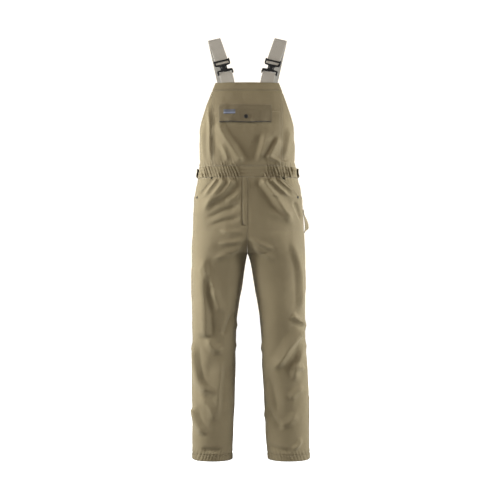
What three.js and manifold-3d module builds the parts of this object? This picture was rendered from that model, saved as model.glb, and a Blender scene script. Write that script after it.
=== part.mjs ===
// Bib overalls, standing as worn: trousers, high bib and back, elastic braces with plastic release buckles.
// Millimetres, +Z up, the front faces -Y and the wearer's left is +X.
// The origin is under the middle, at the hems.
// Every cloth piece is a shell laid at its own depth on one garment surface, so layers never cross.
import * as THREE from "three";
import { mergeVertices } from "three/addons/utils/BufferGeometryUtils.js";
import Module from "manifold-3d";

const wasm = await Module();
wasm.setup();

// ---- Driving dimensions ----
const CENTRE_X = -10; // the fly and centre back line
const CROTCH_Z = 801; // where the inseams meet
const RISE_END_Z = 885; // the crotch curve is upright from here on
const BAND_BOTTOM_Z = 1090; // waistband seam to the trousers
const BAND_HEIGHT = 42;
const BAND_TOP_Z = BAND_BOTTOM_Z + BAND_HEIGHT;
const BIB_TOP_Z = 1450;
const BACK_TOP_Z = 1375;
const SIDE_TOP_Z = 1265; // lowest point of the armhole, on the side seam
const CLOTH = 1.5; // a sewn cloth panel
const TRIM = 1.2; // pockets, facings and tabs
const GAP = 0.3; // air between one layer and the next
const SEAM_GAP = 0.15; // each panel stops this far short of its seam line

// Size chart: half girths of the standing garment at each height.
// right and left are the wearer's; out is the outer silhouette and inner the inseam, both measured along X.
const CHART = {
  z: [0, 75, 160, 300, 420, 520, 620, 700, 770, CROTCH_Z, 890, 970, 1050, 1110, 1165, 1300, 1455],
  outRight: [
    -222, -226, -226, -226, -226, -226.5, -227.5, -227, -226,
    -226, -222, -218, -209, -200, -195, -195, -195,
  ],
  outLeft: [230, 230, 230, 227, 219, 217, 215, 214.5, 216, 215, 211, 207, 195, 181, 172, 171.5, 171.5],
  inRight: [-70, -64, -61, -58.5, -57, -53, -40, -27, -16, CENTRE_X],
  inLeft: [69, 62, 58, 51, 45.5, 40, 27, 14, 0, CENTRE_X],
  front: [66, 67, 70, 76, 80, 85, 92, 98, 105, 109, 118, 118, 118, 118, 118, 118, 107],
  back: [66, 72, 78, 80, 79, 84, 93, 100, 108, 113, 123, 121, 112, 106, 106, 112, 106],
  centreY: [2, 3, 4, 1, -2, -2, 0, 0, 0, 0, 0, 0, 0, 0, 0, 0, 0],
  squareness: [2.1, 2.1, 2.1, 2.15, 2.2, 2.2, 2.25, 2.3, 2.35, 2.4, 2.6, 2.7, 2.8, 2.8, 2.8, 2.8, 2.8],
};

// Bib, flap and pockets
const BIB_SEAM_X = 134; // centre line to the bib's side seam
const BIB_EDGE_SHARE = 0.661; // half width of the bib's top over the chest's half width
const ARMHOLE_POWER = 1.25;
const BIB_BAND_HEIGHT = 31;
const BACK_CORNER_DEG = 56; // from the side seam round to the back's top corner
const BACK_ARMHOLE_POWER = 1.7;
const BACK_BAND_HEIGHT = 38;
const BIB_POCKET = { right: 129, left: 124, top: 1340, bottom: BAND_TOP_Z + 2 };
const FLAP = { centreX: -17, width: 198, top: 1366, bottom: 1300 };
const FLAP_LIFT = 3.4; // the closed flap stands this far off the pocket, over its press stud
const LABEL = { x: -77, z: 1337, width: 43, height: 17 };
const STUD = { x: -15, z: 1319 };
// The slant of each front pocket, out from the centre line.
const POCKET_MOUTH = { topX: 129, bottomX: 196, bottomZ: 1022 };
const BACK_POCKET = { innerX: 42, outerX: 168, top: 1030, bottom: 880 };
const RULER_POCKET = { frontDeg: 98, backDeg: 128, top: 800, bottom: 590 };

// Fly
const FLY = { edgeX: -29, bottomZ: 908 };
const CHAIN = { x: -19.5, width: 6, thick: 1.2 };
const SLIDER = { width: 9, height: 13, plate: 0.7, rail: 1.2, top: 1078 };
const PULL = { width: 5, length: 24, lap: 3, thick: 0.5, clearance: 0.8 }; // clearance under the placket
const TAPE = { lap: 8, thick: 0.9 }; // lap is what is sewn under the panel

// Side closing
const TAB = { rootDeg: 118, endDeg: 79, height: 34, lift: 2.6, flare: 2.6 };
const TAB_STUD_DEG = 92;
const ELASTIC_HEIGHT = 34;

// Trim at the sides
const RIVET_RADIUS = 4.5;
const RIVET_HEIGHT = 1.4;
const RIVET_RIM = 0.6;
const RIVET_CROWN = 0.6; // the flat top's share of the head's radius
const LOOP_LAY = 0.4; // how far off the leg the loop's sewn ends lie
const HAMMER_LOOP = { topDeg: 80, bottomDeg: 89, top: 968, bottom: 882, width: 27, bow: 9.5 };
const RIVET_X = 194; // out from the centre line
const VENT = { frontDeg: 82, backDeg: 98, top: 244, bottom: 3 };

// Press studs
const CAP = { radius: 8, height: 2, crownShare: 0.55 };
const SOCKET = { radius: 5.2, bore: 2.6, height: 1.1 };
const STUD_BASE = { radius: 5.2, height: 0.5 };
const STUD_POST = { radius: 1.9, height: 1.1 };

// Braces and buckles. Buckle sizes are in its own frame: x across, y up the strap, z outwards.
const STRAP_WIDTH = 50;
const STRAP = 1.4; // elastic thickness
const CHEST_RADIUS = 150; // the panels' curve where a strap is sewn in
const STRAP_SAG = STRAP_WIDTH ** 2 / (8 * CHEST_RADIUS); // how far a flat strap lies off that curve
const STRAP_FOLD = { x: 130, y: 0, z: 1632 }; // where the strap turns over the shoulder
const FOLD_RADIUS = 2.4;
const BUCKLE_AT = { x: 91.5, y: -62, z: BIB_TOP_Z + 65 };
const TAB_STRAP = { x: 75, bottomZ: BIB_TOP_Z - 46 }; // the short strap that carries the lower half
const BACK_STRAP = { x: 72, bottomZ: BACK_TOP_Z - 37 };
const TAIL_LENGTH = 62;
const FRAME_HALF = 31;
const SLOT_HALF = 26.3;
const BAR_RADIUS = 2.2;
const BAR_PLAY = 0.4;
const WRAP_RADIUS = BAR_RADIUS + BAR_PLAY + STRAP / 2; // centreline of a strap round a bar
const MALE_BAR_Y = 16.5;
const TOP_BAR = { y: 27, half: 2 };
const FEMALE_BAR_Y = -28;
const HOUSING_HALF = 4; // half of the buckle's thickness
const TONGUE = { half: 4.5, bottom: -12, thick: 1.5, clearance: 0.4 };
const SLEEVE_HALF = 7.6;
const PARTING_Y = 4;
const PRONG = { inner: 9.3, outer: 12.8, bottom: -9.5, half: 3, gap: 0.4 };

// ---- Finishes ----
const finish = (color, roughness) => new THREE.MeshStandardMaterial({ color, roughness, metalness: 0 });
const TWILL = finish(0x9a8c6e, 0.85);
const ELASTIC = finish(0xb9b0a3, 0.8);
const PLASTIC = finish(0x15161a, 0.45);
const METAL = new THREE.MeshStandardMaterial({ color: 0x2a2927, roughness: 0.4, metalness: 0.8 });
const LINING = finish(0x847a66, 0.9);

const object = new THREE.Group();

// ---- The garment surface ----
// Smooth value of a chart column at height z (monotone cubic, so it never overshoots a station).
function chart(column, z) {
  const heights = CHART.z;
  const values = CHART[column];
  const last = values.length - 1;
  if (z <= heights[0]) return values[0];
  if (z >= heights[last]) return values[last];
  let i = 0;
  while (z > heights[i + 1]) i++;
  const slope = (k) => (values[k + 1] - values[k]) / (heights[k + 1] - heights[k]);
  const tangent = (k) => {
    if (k === 0) return slope(0);
    if (k === last) return slope(last - 1);
    const before = slope(k - 1);
    const after = slope(k);
    return before * after <= 0 ? 0 : (2 * before * after) / (before + after);
  };
  const span = heights[i + 1] - heights[i];
  const t = (z - heights[i]) / span;
  const t2 = t * t;
  const t3 = t2 * t;
  return (
    (2 * t3 - 3 * t2 + 1) * values[i] +
    (t3 - 2 * t2 + t) * span * tangent(i) +
    (3 * t2 - 2 * t3) * values[i + 1] +
    (t3 - t2) * span * tangent(i + 1)
  );
}

// The oval section of one side at height z. side is +1 for the wearer's left and -1 for the right.
// Under the crotch it is a leg. Above, the two ovals run into each other at the centre line
// and become the torso.
function section(side, z) {
  const out = chart(side > 0 ? "outLeft" : "outRight", z);
  const n = chart("squareness", z);
  if (z < CROTCH_Z) {
    const inner = chart(side > 0 ? "inLeft" : "inRight", z);
    return { centre: (out + inner) / 2, half: Math.abs(out - inner) / 2, n, overlap: 1 };
  }
  const overlap = Math.max(0, 1 - (z - CROTCH_Z) / (RISE_END_Z - CROTCH_Z));
  const half = Math.abs(out - CENTRE_X) / (1 + overlap);
  return { centre: CENTRE_X + side * overlap * half, half, n, overlap };
}

const RAD = Math.PI / 180;
const superRadius = (psi, n) => (Math.abs(Math.sin(psi)) ** n + Math.abs(Math.cos(psi)) ** n) ** (-1 / n);

// A point of the surface. psi is the angle round the oval: 0 front, 90 outer side, 180 back
// and -90 inner side.
function surface(side, degrees, z) {
  const { centre, half, n } = section(side, z);
  const psi = degrees * RAD;
  const r = superRadius(psi, n);
  const depth = Math.cos(psi) > 0 ? chart("front", z) : chart("back", z);
  return new THREE.Vector3(
    centre + side * half * r * Math.sin(psi),
    chart("centreY", z) - depth * r * Math.cos(psi),
    z,
  );
}

function normalAt(side, degrees, z) {
  const turn = 0.2;
  const rise = 0.5;
  const low = z - rise < CROTCH_Z && z >= CROTCH_Z ? z : z - rise;
  const high = z + rise >= CROTCH_Z && z < CROTCH_Z ? z : z + rise;
  const round = surface(side, degrees + turn, z).sub(surface(side, degrees - turn, z));
  const up = surface(side, degrees, high).sub(surface(side, degrees, low));
  return round.cross(up).multiplyScalar(side).normalize();
}

const skin = (side, degrees, z, offset) =>
  surface(side, degrees, z).addScaledVector(normalAt(side, degrees, z), offset);

// The torso as one turn: -90 is the wearer's right side, 0 the front, 90 the left side and 180 the back.
function torso(turn, z, offset) {
  const wrapped = turn > 180 ? turn - 360 : turn;
  return skin(wrapped < 0 ? -1 : 1, Math.abs(wrapped), z, offset);
}

function torsoNormal(turn, z) {
  const wrapped = turn > 180 ? turn - 360 : turn;
  return normalAt(wrapped < 0 ? -1 : 1, Math.abs(wrapped), z);
}

// The turn at which the torso's front surface has this distance from the centre line.
function turnAt(fromCentre, z) {
  const side = fromCentre < 0 ? -1 : 1;
  const { half, n } = section(side, z);
  const share = Math.min(Math.abs(fromCentre) / half, 1);
  return (side * Math.atan2(share, (1 - share ** n) ** (1 / n))) / RAD;
}
const turnAtX = (x, z) => turnAt(x - CENTRE_X, z);

// The angle at which one side's oval crosses the centre line, on the front.
function centreAngle(side, z) {
  const { overlap, n } = section(side, z);
  return z < CROTCH_Z ? -90 : -Math.atan2(overlap, (1 - overlap ** n) ** (1 / n)) / RAD;
}

// ---- Making solids ----
// A closed shell between two depths of a grid of places.
// place(s, t, offset) gives a point for s and t from 0 to 1.
function shell(place, columns, rows, inner, outer) {
  const depth = (value, s, t) => (typeof value === "function" ? value(s, t) : value);
  const across = columns.length ? columns : Array.from({ length: columns + 1 }, (_, i) => i / columns);
  const along = rows.length ? rows : Array.from({ length: rows + 1 }, (_, j) => j / rows);
  const points = [];
  for (const layer of [outer, inner])
    for (const t of along)
      for (const s of across) points.push(...place(s, t, depth(layer, s, t)).toArray());
  const w = across.length;
  const h = along.length;
  const at = (layer, i, j) => layer * w * h + j * w + i;
  const faces = [];
  const quad = (a, b, c, d) => faces.push(a, b, c, a, c, d);
  for (let j = 0; j + 1 < h; j++)
    for (let i = 0; i + 1 < w; i++) {
      quad(at(0, i, j), at(0, i + 1, j), at(0, i + 1, j + 1), at(0, i, j + 1));
      quad(at(1, i, j), at(1, i, j + 1), at(1, i + 1, j + 1), at(1, i + 1, j));
    }
  for (let i = 0; i + 1 < w; i++) {
    quad(at(1, i, 0), at(1, i + 1, 0), at(0, i + 1, 0), at(0, i, 0));
    quad(at(0, i, h - 1), at(0, i + 1, h - 1), at(1, i + 1, h - 1), at(1, i, h - 1));
  }
  for (let j = 0; j + 1 < h; j++) {
    quad(at(0, 0, j), at(0, 0, j + 1), at(1, 0, j + 1), at(1, 0, j));
    quad(at(1, w - 1, j), at(1, w - 1, j + 1), at(0, w - 1, j + 1), at(0, w - 1, j));
  }
  const geometry = new THREE.BufferGeometry();
  geometry.setAttribute("position", new THREE.Float32BufferAttribute(points, 3));
  geometry.setIndex(faces);
  return facingOut(geometry);
}

// Turns a closed geometry's faces round if they point inwards.
function facingOut(geometry) {
  const p = geometry.getAttribute("position");
  const index = geometry.index.array;
  let volume = 0;
  const corner = (i) => new THREE.Vector3().fromBufferAttribute(p, i);
  for (let f = 0; f < index.length; f += 3)
    volume += corner(index[f]).dot(corner(index[f + 1]).cross(corner(index[f + 2])));
  if (volume < 0)
    for (let f = 0; f < index.length; f += 3) [index[f + 1], index[f + 2]] = [index[f + 2], index[f + 1]];
  return geometry;
}

function toSolid(geometry) {
  const bare = geometry.clone();
  for (const name of ["normal", "uv"]) bare.deleteAttribute(name);
  const merged = mergeVertices(bare, 1e-3);
  const { array } = merged.getAttribute("position");
  const triVerts = new Uint32Array(merged.index.array);
  return new wasm.Manifold(new wasm.Mesh({ numProp: 3, vertProperties: array, triVerts }));
}

function fromSolid(solid) {
  const { vertProperties, triVerts } = solid.getMesh();
  const geometry = new THREE.BufferGeometry();
  geometry.setAttribute("position", new THREE.BufferAttribute(new Float32Array(vertProperties), 3));
  geometry.setIndex(new THREE.BufferAttribute(new Uint32Array(triVerts), 1));
  return geometry;
}

const join = (...parts) => fromSolid(parts.map(toSolid).reduce((a, b) => a.add(b)));
const cut = (geometry, ...tools) =>
  fromSolid(tools.map(toSolid).reduce((a, b) => a.subtract(b), toSolid(geometry)));

function add(name, geometry, material, parent = object) {
  const mesh = new THREE.Mesh(geometry, material);
  mesh.name = name;
  parent.add(mesh);
  return mesh;
}

function box(x0, x1, y0, y1, z0, z1) {
  const middle = [(x0 + x1) / 2, (y0 + y1) / 2, (z0 + z1) / 2];
  return new THREE.BoxGeometry(x1 - x0, y1 - y0, z1 - z0).translate(...middle);
}

// A round piece with its axis on Z, turned from (radius, height) pairs.
function turned(profile, segments = 14) {
  const points = profile.map(([r, z]) => new THREE.Vector2(r, z));
  return new THREE.LatheGeometry(points, segments).rotateX(Math.PI / 2);
}

// A strap: a flat band that follows frames of { centre, across, out }.
function strap(frames, width, thickness) {
  const place = (s, t, offset) => {
    const { centre, across, out } = frames[Math.round(t * (frames.length - 1))];
    return centre.clone().addScaledVector(across, (s - 0.5) * width).addScaledVector(out, offset);
  };
  return shell(place, 2, frames.length - 1, -thickness / 2, thickness / 2);
}

// A group whose x, y and z run along the given directions.
function framed(origin, x, y, z, name) {
  const group = new THREE.Group();
  group.name = name;
  group.position.copy(origin);
  group.quaternion.setFromRotationMatrix(new THREE.Matrix4().makeBasis(x, y, z));
  object.add(group);
  return group;
}

// A group on the torso's surface, with z along its normal and y up.
function onTorso(turn, z, offset, name) {
  const out = torsoNormal(turn, z);
  const across = new THREE.Vector3(0, 0, 1).cross(out).normalize();
  return framed(torso(turn, z, offset), across, out.clone().cross(across), out, name);
}

// ---- Trousers ----
const LEG_ROWS = [0, 60, 150, 250, 350, 450, 550, 650, 730, 780];
const CROTCH_STEPS = 6;
const HIP_ROWS = [930, 980, 1030, 1062];
const RISE_ROWS = Array.from({ length: CROTCH_STEPS + 1 }, (_, i) => {
  const along = (i / CROTCH_STEPS) * (Math.PI / 2);
  return CROTCH_Z + (RISE_END_Z - CROTCH_Z) * (1 - Math.cos(along));
});
const TROUSER_ROWS = [...LEG_ROWS, ...RISE_ROWS, ...HIP_ROWS, BAND_BOTTOM_Z - GAP];
const PANEL_COLUMNS = 11;
const BAG_COLUMNS = 6;
const BAG_END_DEG = 89.4; // a bag stops just short of the side seam

function legPanel(side, isFront) {
  const rows = TROUSER_ROWS.map((_, j) => j / (TROUSER_ROWS.length - 1));
  const place = (s, t, offset) => {
    const z = TROUSER_ROWS[Math.round(t * (TROUSER_ROWS.length - 1))];
    const inner = centreAngle(side, z);
    const front = inner + s * (90 - inner);
    const p = skin(side, isFront ? front : 180 - front, z, offset);
    const seamY = chart("centreY", z);
    p.y = isFront ? Math.min(p.y, seamY - SEAM_GAP) : Math.max(p.y, seamY + SEAM_GAP);
    if (z >= CROTCH_Z) p.x = CENTRE_X + side * Math.max(side * (p.x - CENTRE_X), SEAM_GAP);
    return p;
  };
  return shell(place, PANEL_COLUMNS, rows, -CLOTH, 0);
}

// The piece that is cut away from a front panel to leave the slanting pocket mouth.
function pocketMouth(side) {
  const far = 260;
  const { topX, bottomX, bottomZ } = POCKET_MOUTH;
  const topZ = BAND_BOTTOM_Z;
  const shape = new THREE.Shape([
    new THREE.Vector2(topX, topZ + 5),
    new THREE.Vector2(topX, topZ),
    new THREE.Vector2(bottomX, bottomZ),
    new THREE.Vector2(far, bottomZ),
    new THREE.Vector2(far, topZ + 5),
  ]);
  const wedge = new THREE.ExtrudeGeometry(shape, { depth: 200, bevelEnabled: false });
  wedge.rotateX(Math.PI / 2); // its drawing's up becomes Z
  if (side < 0) wedge.applyMatrix4(new THREE.Matrix4().makeScale(-1, 1, 1));
  wedge.translate(CENTRE_X, 0, 0);
  return facingOut(mergeVertices(wedge.deleteAttribute("normal").deleteAttribute("uv"), 1e-3));
}

const flyWindow = box(FLY.edgeX, CENTRE_X + 5, -160, -80, FLY.bottomZ, BAND_BOTTOM_Z + 5);
for (const [word, side] of [["right", -1], ["left", 1]]) {
  let front = cut(legPanel(side, true), pocketMouth(side));
  if (side < 0) front = cut(front, flyWindow);
  add(`${word}_leg_front`, front, TWILL);
  add(`${word}_leg_back`, legPanel(side, false), TWILL);
}

// Pocket bags: a cloth bag behind each mouth, which shows where the front panel is cut away.
// They share the front panels' own rows and columns, so they follow every facet of them.
const BAG_ROWS = TROUSER_ROWS.filter((z) => z >= RISE_END_Z);
for (const [word, side] of [["right", -1], ["left", 1]]) {
  const place = (s, t, offset) => {
    const column = PANEL_COLUMNS - BAG_COLUMNS * (1 - s);
    const row = BAG_ROWS[Math.round(t * (BAG_ROWS.length - 1))];
    return skin(side, Math.min((column / PANEL_COLUMNS) * 90, BAG_END_DEG), row, offset);
  };
  const bagFace = -CLOTH - GAP;
  const bag = shell(place, BAG_COLUMNS, BAG_ROWS.length - 1, bagFace - TRIM, bagFace);
  add(`${word}_pocket_bag`, bag, LINING);
}

// Patch pockets on the seat.
for (const [word, side] of [["right", -1], ["left", 1]]) {
  const { innerX, outerX, top, bottom } = BACK_POCKET;
  const place = (s, t, offset) => {
    const z = bottom + t * (top - bottom);
    const inner = 180 - Math.abs(turnAt(side * innerX, z));
    const outer = 180 - Math.abs(turnAt(side * outerX, z));
    return skin(side, inner + s * (outer - inner), z, offset);
  };
  add(`${word}_back_pocket`, shell(place, 10, 5, 2 * GAP, 2 * GAP + TRIM), TWILL);
}

// A long narrow pocket for a folding rule, on the back of the right thigh.
{
  const { frontDeg, backDeg, top, bottom } = RULER_POCKET;
  const place = (s, t, offset) =>
    skin(-1, frontDeg + s * (backDeg - frontDeg), bottom + t * (top - bottom), offset);
  add("ruler_pocket", shell(place, 6, 6, GAP, GAP + TRIM), TWILL);
}

// ---- Fly ----
const FLY_TOP = BAND_BOTTOM_Z - GAP;
const flyPlace = (x0, x1, z0, z1) => (s, t, offset) => {
  const z = z0 + t * (z1 - z0);
  return torso(turnAtX(x0 + s * (x1 - x0), z), z, offset);
};
const placketPlace = flyPlace(FLY.edgeX, CENTRE_X - 1, FLY.bottomZ - 3, FLY_TOP);
add("fly_placket", shell(placketPlace, 3, 6, GAP, GAP + TRIM), TWILL);
// The zip lies in the fly's window, each layer under the one before: placket, pull, slider, chain and tape.
const PULL_BOTTOM = GAP - PULL.clearance - PULL.thick;
const PLATE_BOTTOM = PULL_BOTTOM - GAP - SLIDER.plate;
const CHAIN_TOP = PLATE_BOTTOM - GAP;
const TAPE_TOP = CHAIN_TOP - CHAIN.thick - GAP;
const TAPE_BOTTOM = TAPE_TOP - TAPE.thick;
// The tape's sewn edge is thicker and comes up under the panel beside the window.
const tapeLeft = FLY.edgeX - TAPE.lap;
const tapeRight = CENTRE_X - GAP;
const tapeShare = (x) => (x - tapeLeft) / (tapeRight - tapeLeft);
const tapeColumns = [0, tapeShare(FLY.edgeX - 2), tapeShare(FLY.edgeX + GAP), 0.7, 1];
const tapeOuter = (s) => (s <= tapeColumns[1] ? -CLOTH - GAP : TAPE_TOP);
const tapePlace = flyPlace(tapeLeft, tapeRight, FLY.bottomZ + GAP, FLY_TOP);
add("zip_tape", shell(tapePlace, tapeColumns, 6, TAPE_BOTTOM, tapeOuter), LINING);
const chainHalf = CHAIN.width / 2;
const chainPlace = flyPlace(CHAIN.x - chainHalf, CHAIN.x + chainHalf, FLY.bottomZ + 6, FLY_TOP - 4);
add("zip_chain", shell(chainPlace, 2, 6, CHAIN_TOP - CHAIN.thick, CHAIN_TOP), METAL);

// The slider rides on the chain, down the straight line of the fly, with its pull hanging flat against it.
const sliderMiddle = SLIDER.top - SLIDER.height / 2;
const slider = onTorso(turnAtX(CHAIN.x, sliderMiddle), sliderMiddle, PLATE_BOTTOM, "zip_slider_frame");
const { width: wide, height: tall, plate: plateThick, rail: railWide } = SLIDER;
const plate = box(-wide / 2, wide / 2, -tall / 2, tall / 2, 0, plateThick);
const rail = (x0) => box(x0, x0 + railWide, -tall / 2, tall / 2, -0.9, 0.1);
add("zip_slider", join(plate, rail(-wide / 2), rail(wide / 2 - railWide)), METAL, slider);
const pullTop = -tall / 2 + PULL.lap;
const pullFace = plateThick + GAP;
const pullHalf = PULL.width / 2;
const pull = box(-pullHalf, pullHalf, pullTop - PULL.length, pullTop, pullFace, pullFace + PULL.thick);
add("zip_pull", pull, METAL, slider);

// ---- Waistband ----
const BAND_PROUD = 0.8;
const BAND_EDGE = 0.15; // degrees short of the side seam
const BAND_COLUMNS = 24;
const bandPlace = (from, to, z0, z1) => (s, t, offset) =>
  torso(from + s * (to - from), z0 + t * (z1 - z0), offset);
const BAND_SPAN = 180 - 2 * BAND_EDGE;
const frontBand = bandPlace(-90 + BAND_EDGE, 90 - BAND_EDGE, BAND_BOTTOM_Z, BAND_TOP_Z);
const backBand = bandPlace(90 + BAND_EDGE, 270 - BAND_EDGE, BAND_BOTTOM_Z, BAND_TOP_Z);
add("front_waistband", shell(frontBand, BAND_COLUMNS, 2, -CLOTH, BAND_PROUD), TWILL);
add("back_waistband", shell(backBand, BAND_COLUMNS, 2, -CLOTH, BAND_PROUD), TWILL);
const bandMiddle = BAND_BOTTOM_Z + BAND_HEIGHT / 2;

// Elastic inside the band, from one of the band's own columns to another.
for (const [name, start, first, last] of [
  ["right_waist_elastic", -90, 1, 11],
  ["left_waist_elastic", -90, 16, 23],
  ["back_waist_elastic", 90, 4, 20],
]) {
  const turn = (column) => start + BAND_EDGE + (column / BAND_COLUMNS) * BAND_SPAN;
  const half = ELASTIC_HEIGHT / 2;
  const place = bandPlace(turn(first), turn(last), bandMiddle - half, bandMiddle + half);
  add(name, shell(place, last - first, 2, -CLOTH - GAP - 1, -CLOTH - GAP), ELASTIC);
}

// ---- Press studs ----
// height is how far the cloth that carries the cap stands off the cloth that carries the stud.
function pressStud(name, frame, standOff, thickness) {
  const socketTop = standOff - GAP;
  const capBottom = standOff + thickness + GAP;
  const { radius, height } = CAP;
  const dome = [
    [0, capBottom],
    [radius, capBottom],
    [radius, capBottom + height / 2],
    [radius * CAP.crownShare, capBottom + height],
    [0, capBottom + height],
  ];
  add(`${name}_cap`, turned(dome), METAL, frame);
  const low = socketTop - SOCKET.height;
  const ring = [
    [SOCKET.bore, low],
    [SOCKET.radius, low],
    [SOCKET.radius, socketTop],
    [SOCKET.bore, socketTop],
    [SOCKET.bore, low],
  ];
  add(`${name}_socket`, turned(ring), METAL, frame);
  const foot = GAP + STUD_BASE.height;
  const tip = foot + STUD_POST.height;
  const stud = [
    [0, GAP],
    [STUD_BASE.radius, GAP],
    [STUD_BASE.radius, foot],
    [STUD_POST.radius, foot],
    [STUD_POST.radius, tip],
    [0, tip],
  ];
  add(`${name}_stud`, turned(stud), METAL, frame);
}

// ---- Side closing: the back band's tab laps forward over the front band and snaps down ----
for (const [word, side] of [["right", -1], ["left", 1]]) {
  const low = bandMiddle - TAB.height / 2;
  const { smoothstep } = THREE.MathUtils;
  const rise = (s) => TAB.lift * smoothstep(s, 0.12, 0.5) + TAB.flare * smoothstep(s, 0.82, 1);
  const standOff = (s) => BAND_PROUD + GAP + rise(s);
  const turn = (s) => TAB.rootDeg + s * (TAB.endDeg - TAB.rootDeg);
  const place = (s, t, offset) => skin(side, turn(s), low + t * TAB.height, offset);
  add(`${word}_side_tab`, shell(place, 10, 2, standOff, (s) => standOff(s) + TRIM), TWILL);
  const frame = onTorso(side * TAB_STUD_DEG, bandMiddle, BAND_PROUD, `${word}_side_stud_frame`);
  pressStud(`${word}_side`, frame, TAB.lift + GAP, TRIM);
}

// ---- Bib ----
// Half width of the bib at height z, from the centre line: it runs into the side seam at the
// armhole's lowest point.
function bibEdge(side, z) {
  const { half } = section(side, z);
  const rise = Math.max(0, (z - SIDE_TOP_Z) / (BIB_TOP_Z - SIDE_TOP_Z));
  return half * (1 - (1 - BIB_EDGE_SHARE) * rise ** ARMHOLE_POWER);
}
const bibHalf = (side, z) => Math.min(BIB_SEAM_X - SEAM_GAP, bibEdge(side, z));
const PANEL_BOTTOM = BAND_TOP_Z + GAP;

function bibPlace(z0, z1, inset = 0) {
  return (s, t, offset) => {
    const z = z0 + t * (z1 - z0);
    const right = turnAt(-(bibHalf(-1, z) - inset), z);
    const left = turnAt(bibHalf(1, z) - inset, z);
    return torso(right + s * (left - right), z, offset);
  };
}
add("bib_front_panel", shell(bibPlace(PANEL_BOTTOM, BIB_TOP_Z), 12, 10, -CLOTH, 0), TWILL);
const topBandPlace = bibPlace(BIB_TOP_Z - BIB_BAND_HEIGHT, BIB_TOP_Z, 0.5);
add("bib_top_band", shell(topBandPlace, 16, 2, GAP, GAP + TRIM), TWILL);

for (const [word, side] of [["right", -1], ["left", 1]]) {
  // The panel's point is where the armhole runs out onto the bib's seam.
  const { half } = section(side, BIB_TOP_Z);
  const tipShare = (1 - (BIB_SEAM_X + 2) / half) / (1 - BIB_EDGE_SHARE);
  const top = SIDE_TOP_Z + (BIB_TOP_Z - SIDE_TOP_Z) * tipShare ** (1 / ARMHOLE_POWER);
  const place = (s, t, offset) => {
    const z = PANEL_BOTTOM + t * (top - PANEL_BOTTOM);
    const seam = Math.abs(turnAt(side * (BIB_SEAM_X + SEAM_GAP), z));
    const edge = z > SIDE_TOP_Z ? Math.abs(turnAt(side * bibEdge(side, z), z)) : 90;
    const p = skin(side, seam + s * (Math.min(edge, 90) - seam), z, offset);
    p.y = Math.min(p.y, chart("centreY", z) - SEAM_GAP);
    return p;
  };
  add(`${word}_bib_side`, shell(place, 5, 10, -CLOTH, 0), TWILL);
}

{
  const { right, left, top, bottom } = BIB_POCKET;
  const place = (s, t, offset) => {
    const z = bottom + t * (top - bottom);
    const from = turnAt(-right, z);
    return torso(from + s * (turnAt(left, z) - from), z, offset);
  };
  add("bib_pocket", shell(place, 20, 6, GAP, GAP + TRIM), TWILL);
}

// The flap is sewn to the bib along its top and stands off the pocket below, over the press stud.
const POCKET_FACE = GAP + TRIM;
{
  const { centreX, width, top, bottom } = FLAP;
  const place = (s, t, offset) => {
    const z = bottom + t * (top - bottom);
    return torso(turnAtX(centreX + (s - 0.5) * width, z), z, offset);
  };
  const lift = POCKET_FACE + FLAP_LIFT - GAP;
  const standOff = (s, t) => GAP + lift * THREE.MathUtils.smoothstep(1 - t, 0.02, 0.34);
  add("bib_pocket_flap", shell(place, 12, 6, standOff, (s, t) => standOff(s, t) + TRIM), TWILL);
  const stud = onTorso(turnAtX(STUD.x, STUD.z), STUD.z, POCKET_FACE, "flap_stud_frame");
  pressStud("flap", stud, FLAP_LIFT, TRIM);
  const face = POCKET_FACE + FLAP_LIFT + TRIM;
  const { x, z, width: labelWidth, height: labelHeight } = LABEL;
  const [across, up] = [labelWidth / 2, labelHeight / 2];
  const labelPlace = flyPlace(x - across, x + across, z - up, z + up);
  add("flap_label", shell(labelPlace, 3, 1, face + GAP, face + GAP + 0.8), LINING);
}

// ---- Back ----
function backTop(turn) {
  const fromSide = Math.min(turn - 90, 270 - turn);
  const rise = THREE.MathUtils.clamp(fromSide / BACK_CORNER_DEG, 0, 1);
  return SIDE_TOP_Z + (BACK_TOP_Z - SIDE_TOP_Z) * rise ** BACK_ARMHOLE_POWER;
}
{
  const place = (s, t, offset) => {
    const turn = 90 + s * 180;
    const z = PANEL_BOTTOM + t * (backTop(turn) - PANEL_BOTTOM);
    const p = torso(turn, z, offset);
    p.y = Math.max(p.y, chart("centreY", z) + SEAM_GAP);
    return p;
  };
  const corner = BACK_CORNER_DEG / 180;
  const middle = [0.38, 0.44, 0.5, 0.56, 0.62];
  const columns = [0, 0.06, 0.12, 0.18, 0.24, corner, ...middle, 1 - corner, 0.76, 0.82, 0.88, 0.94, 1];
  add("back_panel", shell(place, columns, 8, -CLOTH, 0), TWILL);
  const from = 90 + BACK_CORNER_DEG;
  const bandPlaceBack = bandPlace(from, 360 - from, BACK_TOP_Z - BACK_BAND_HEIGHT, BACK_TOP_Z);
  add("back_top_band", shell(bandPlaceBack, 12, 2, GAP, GAP + TRIM), TWILL);
}

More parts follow.
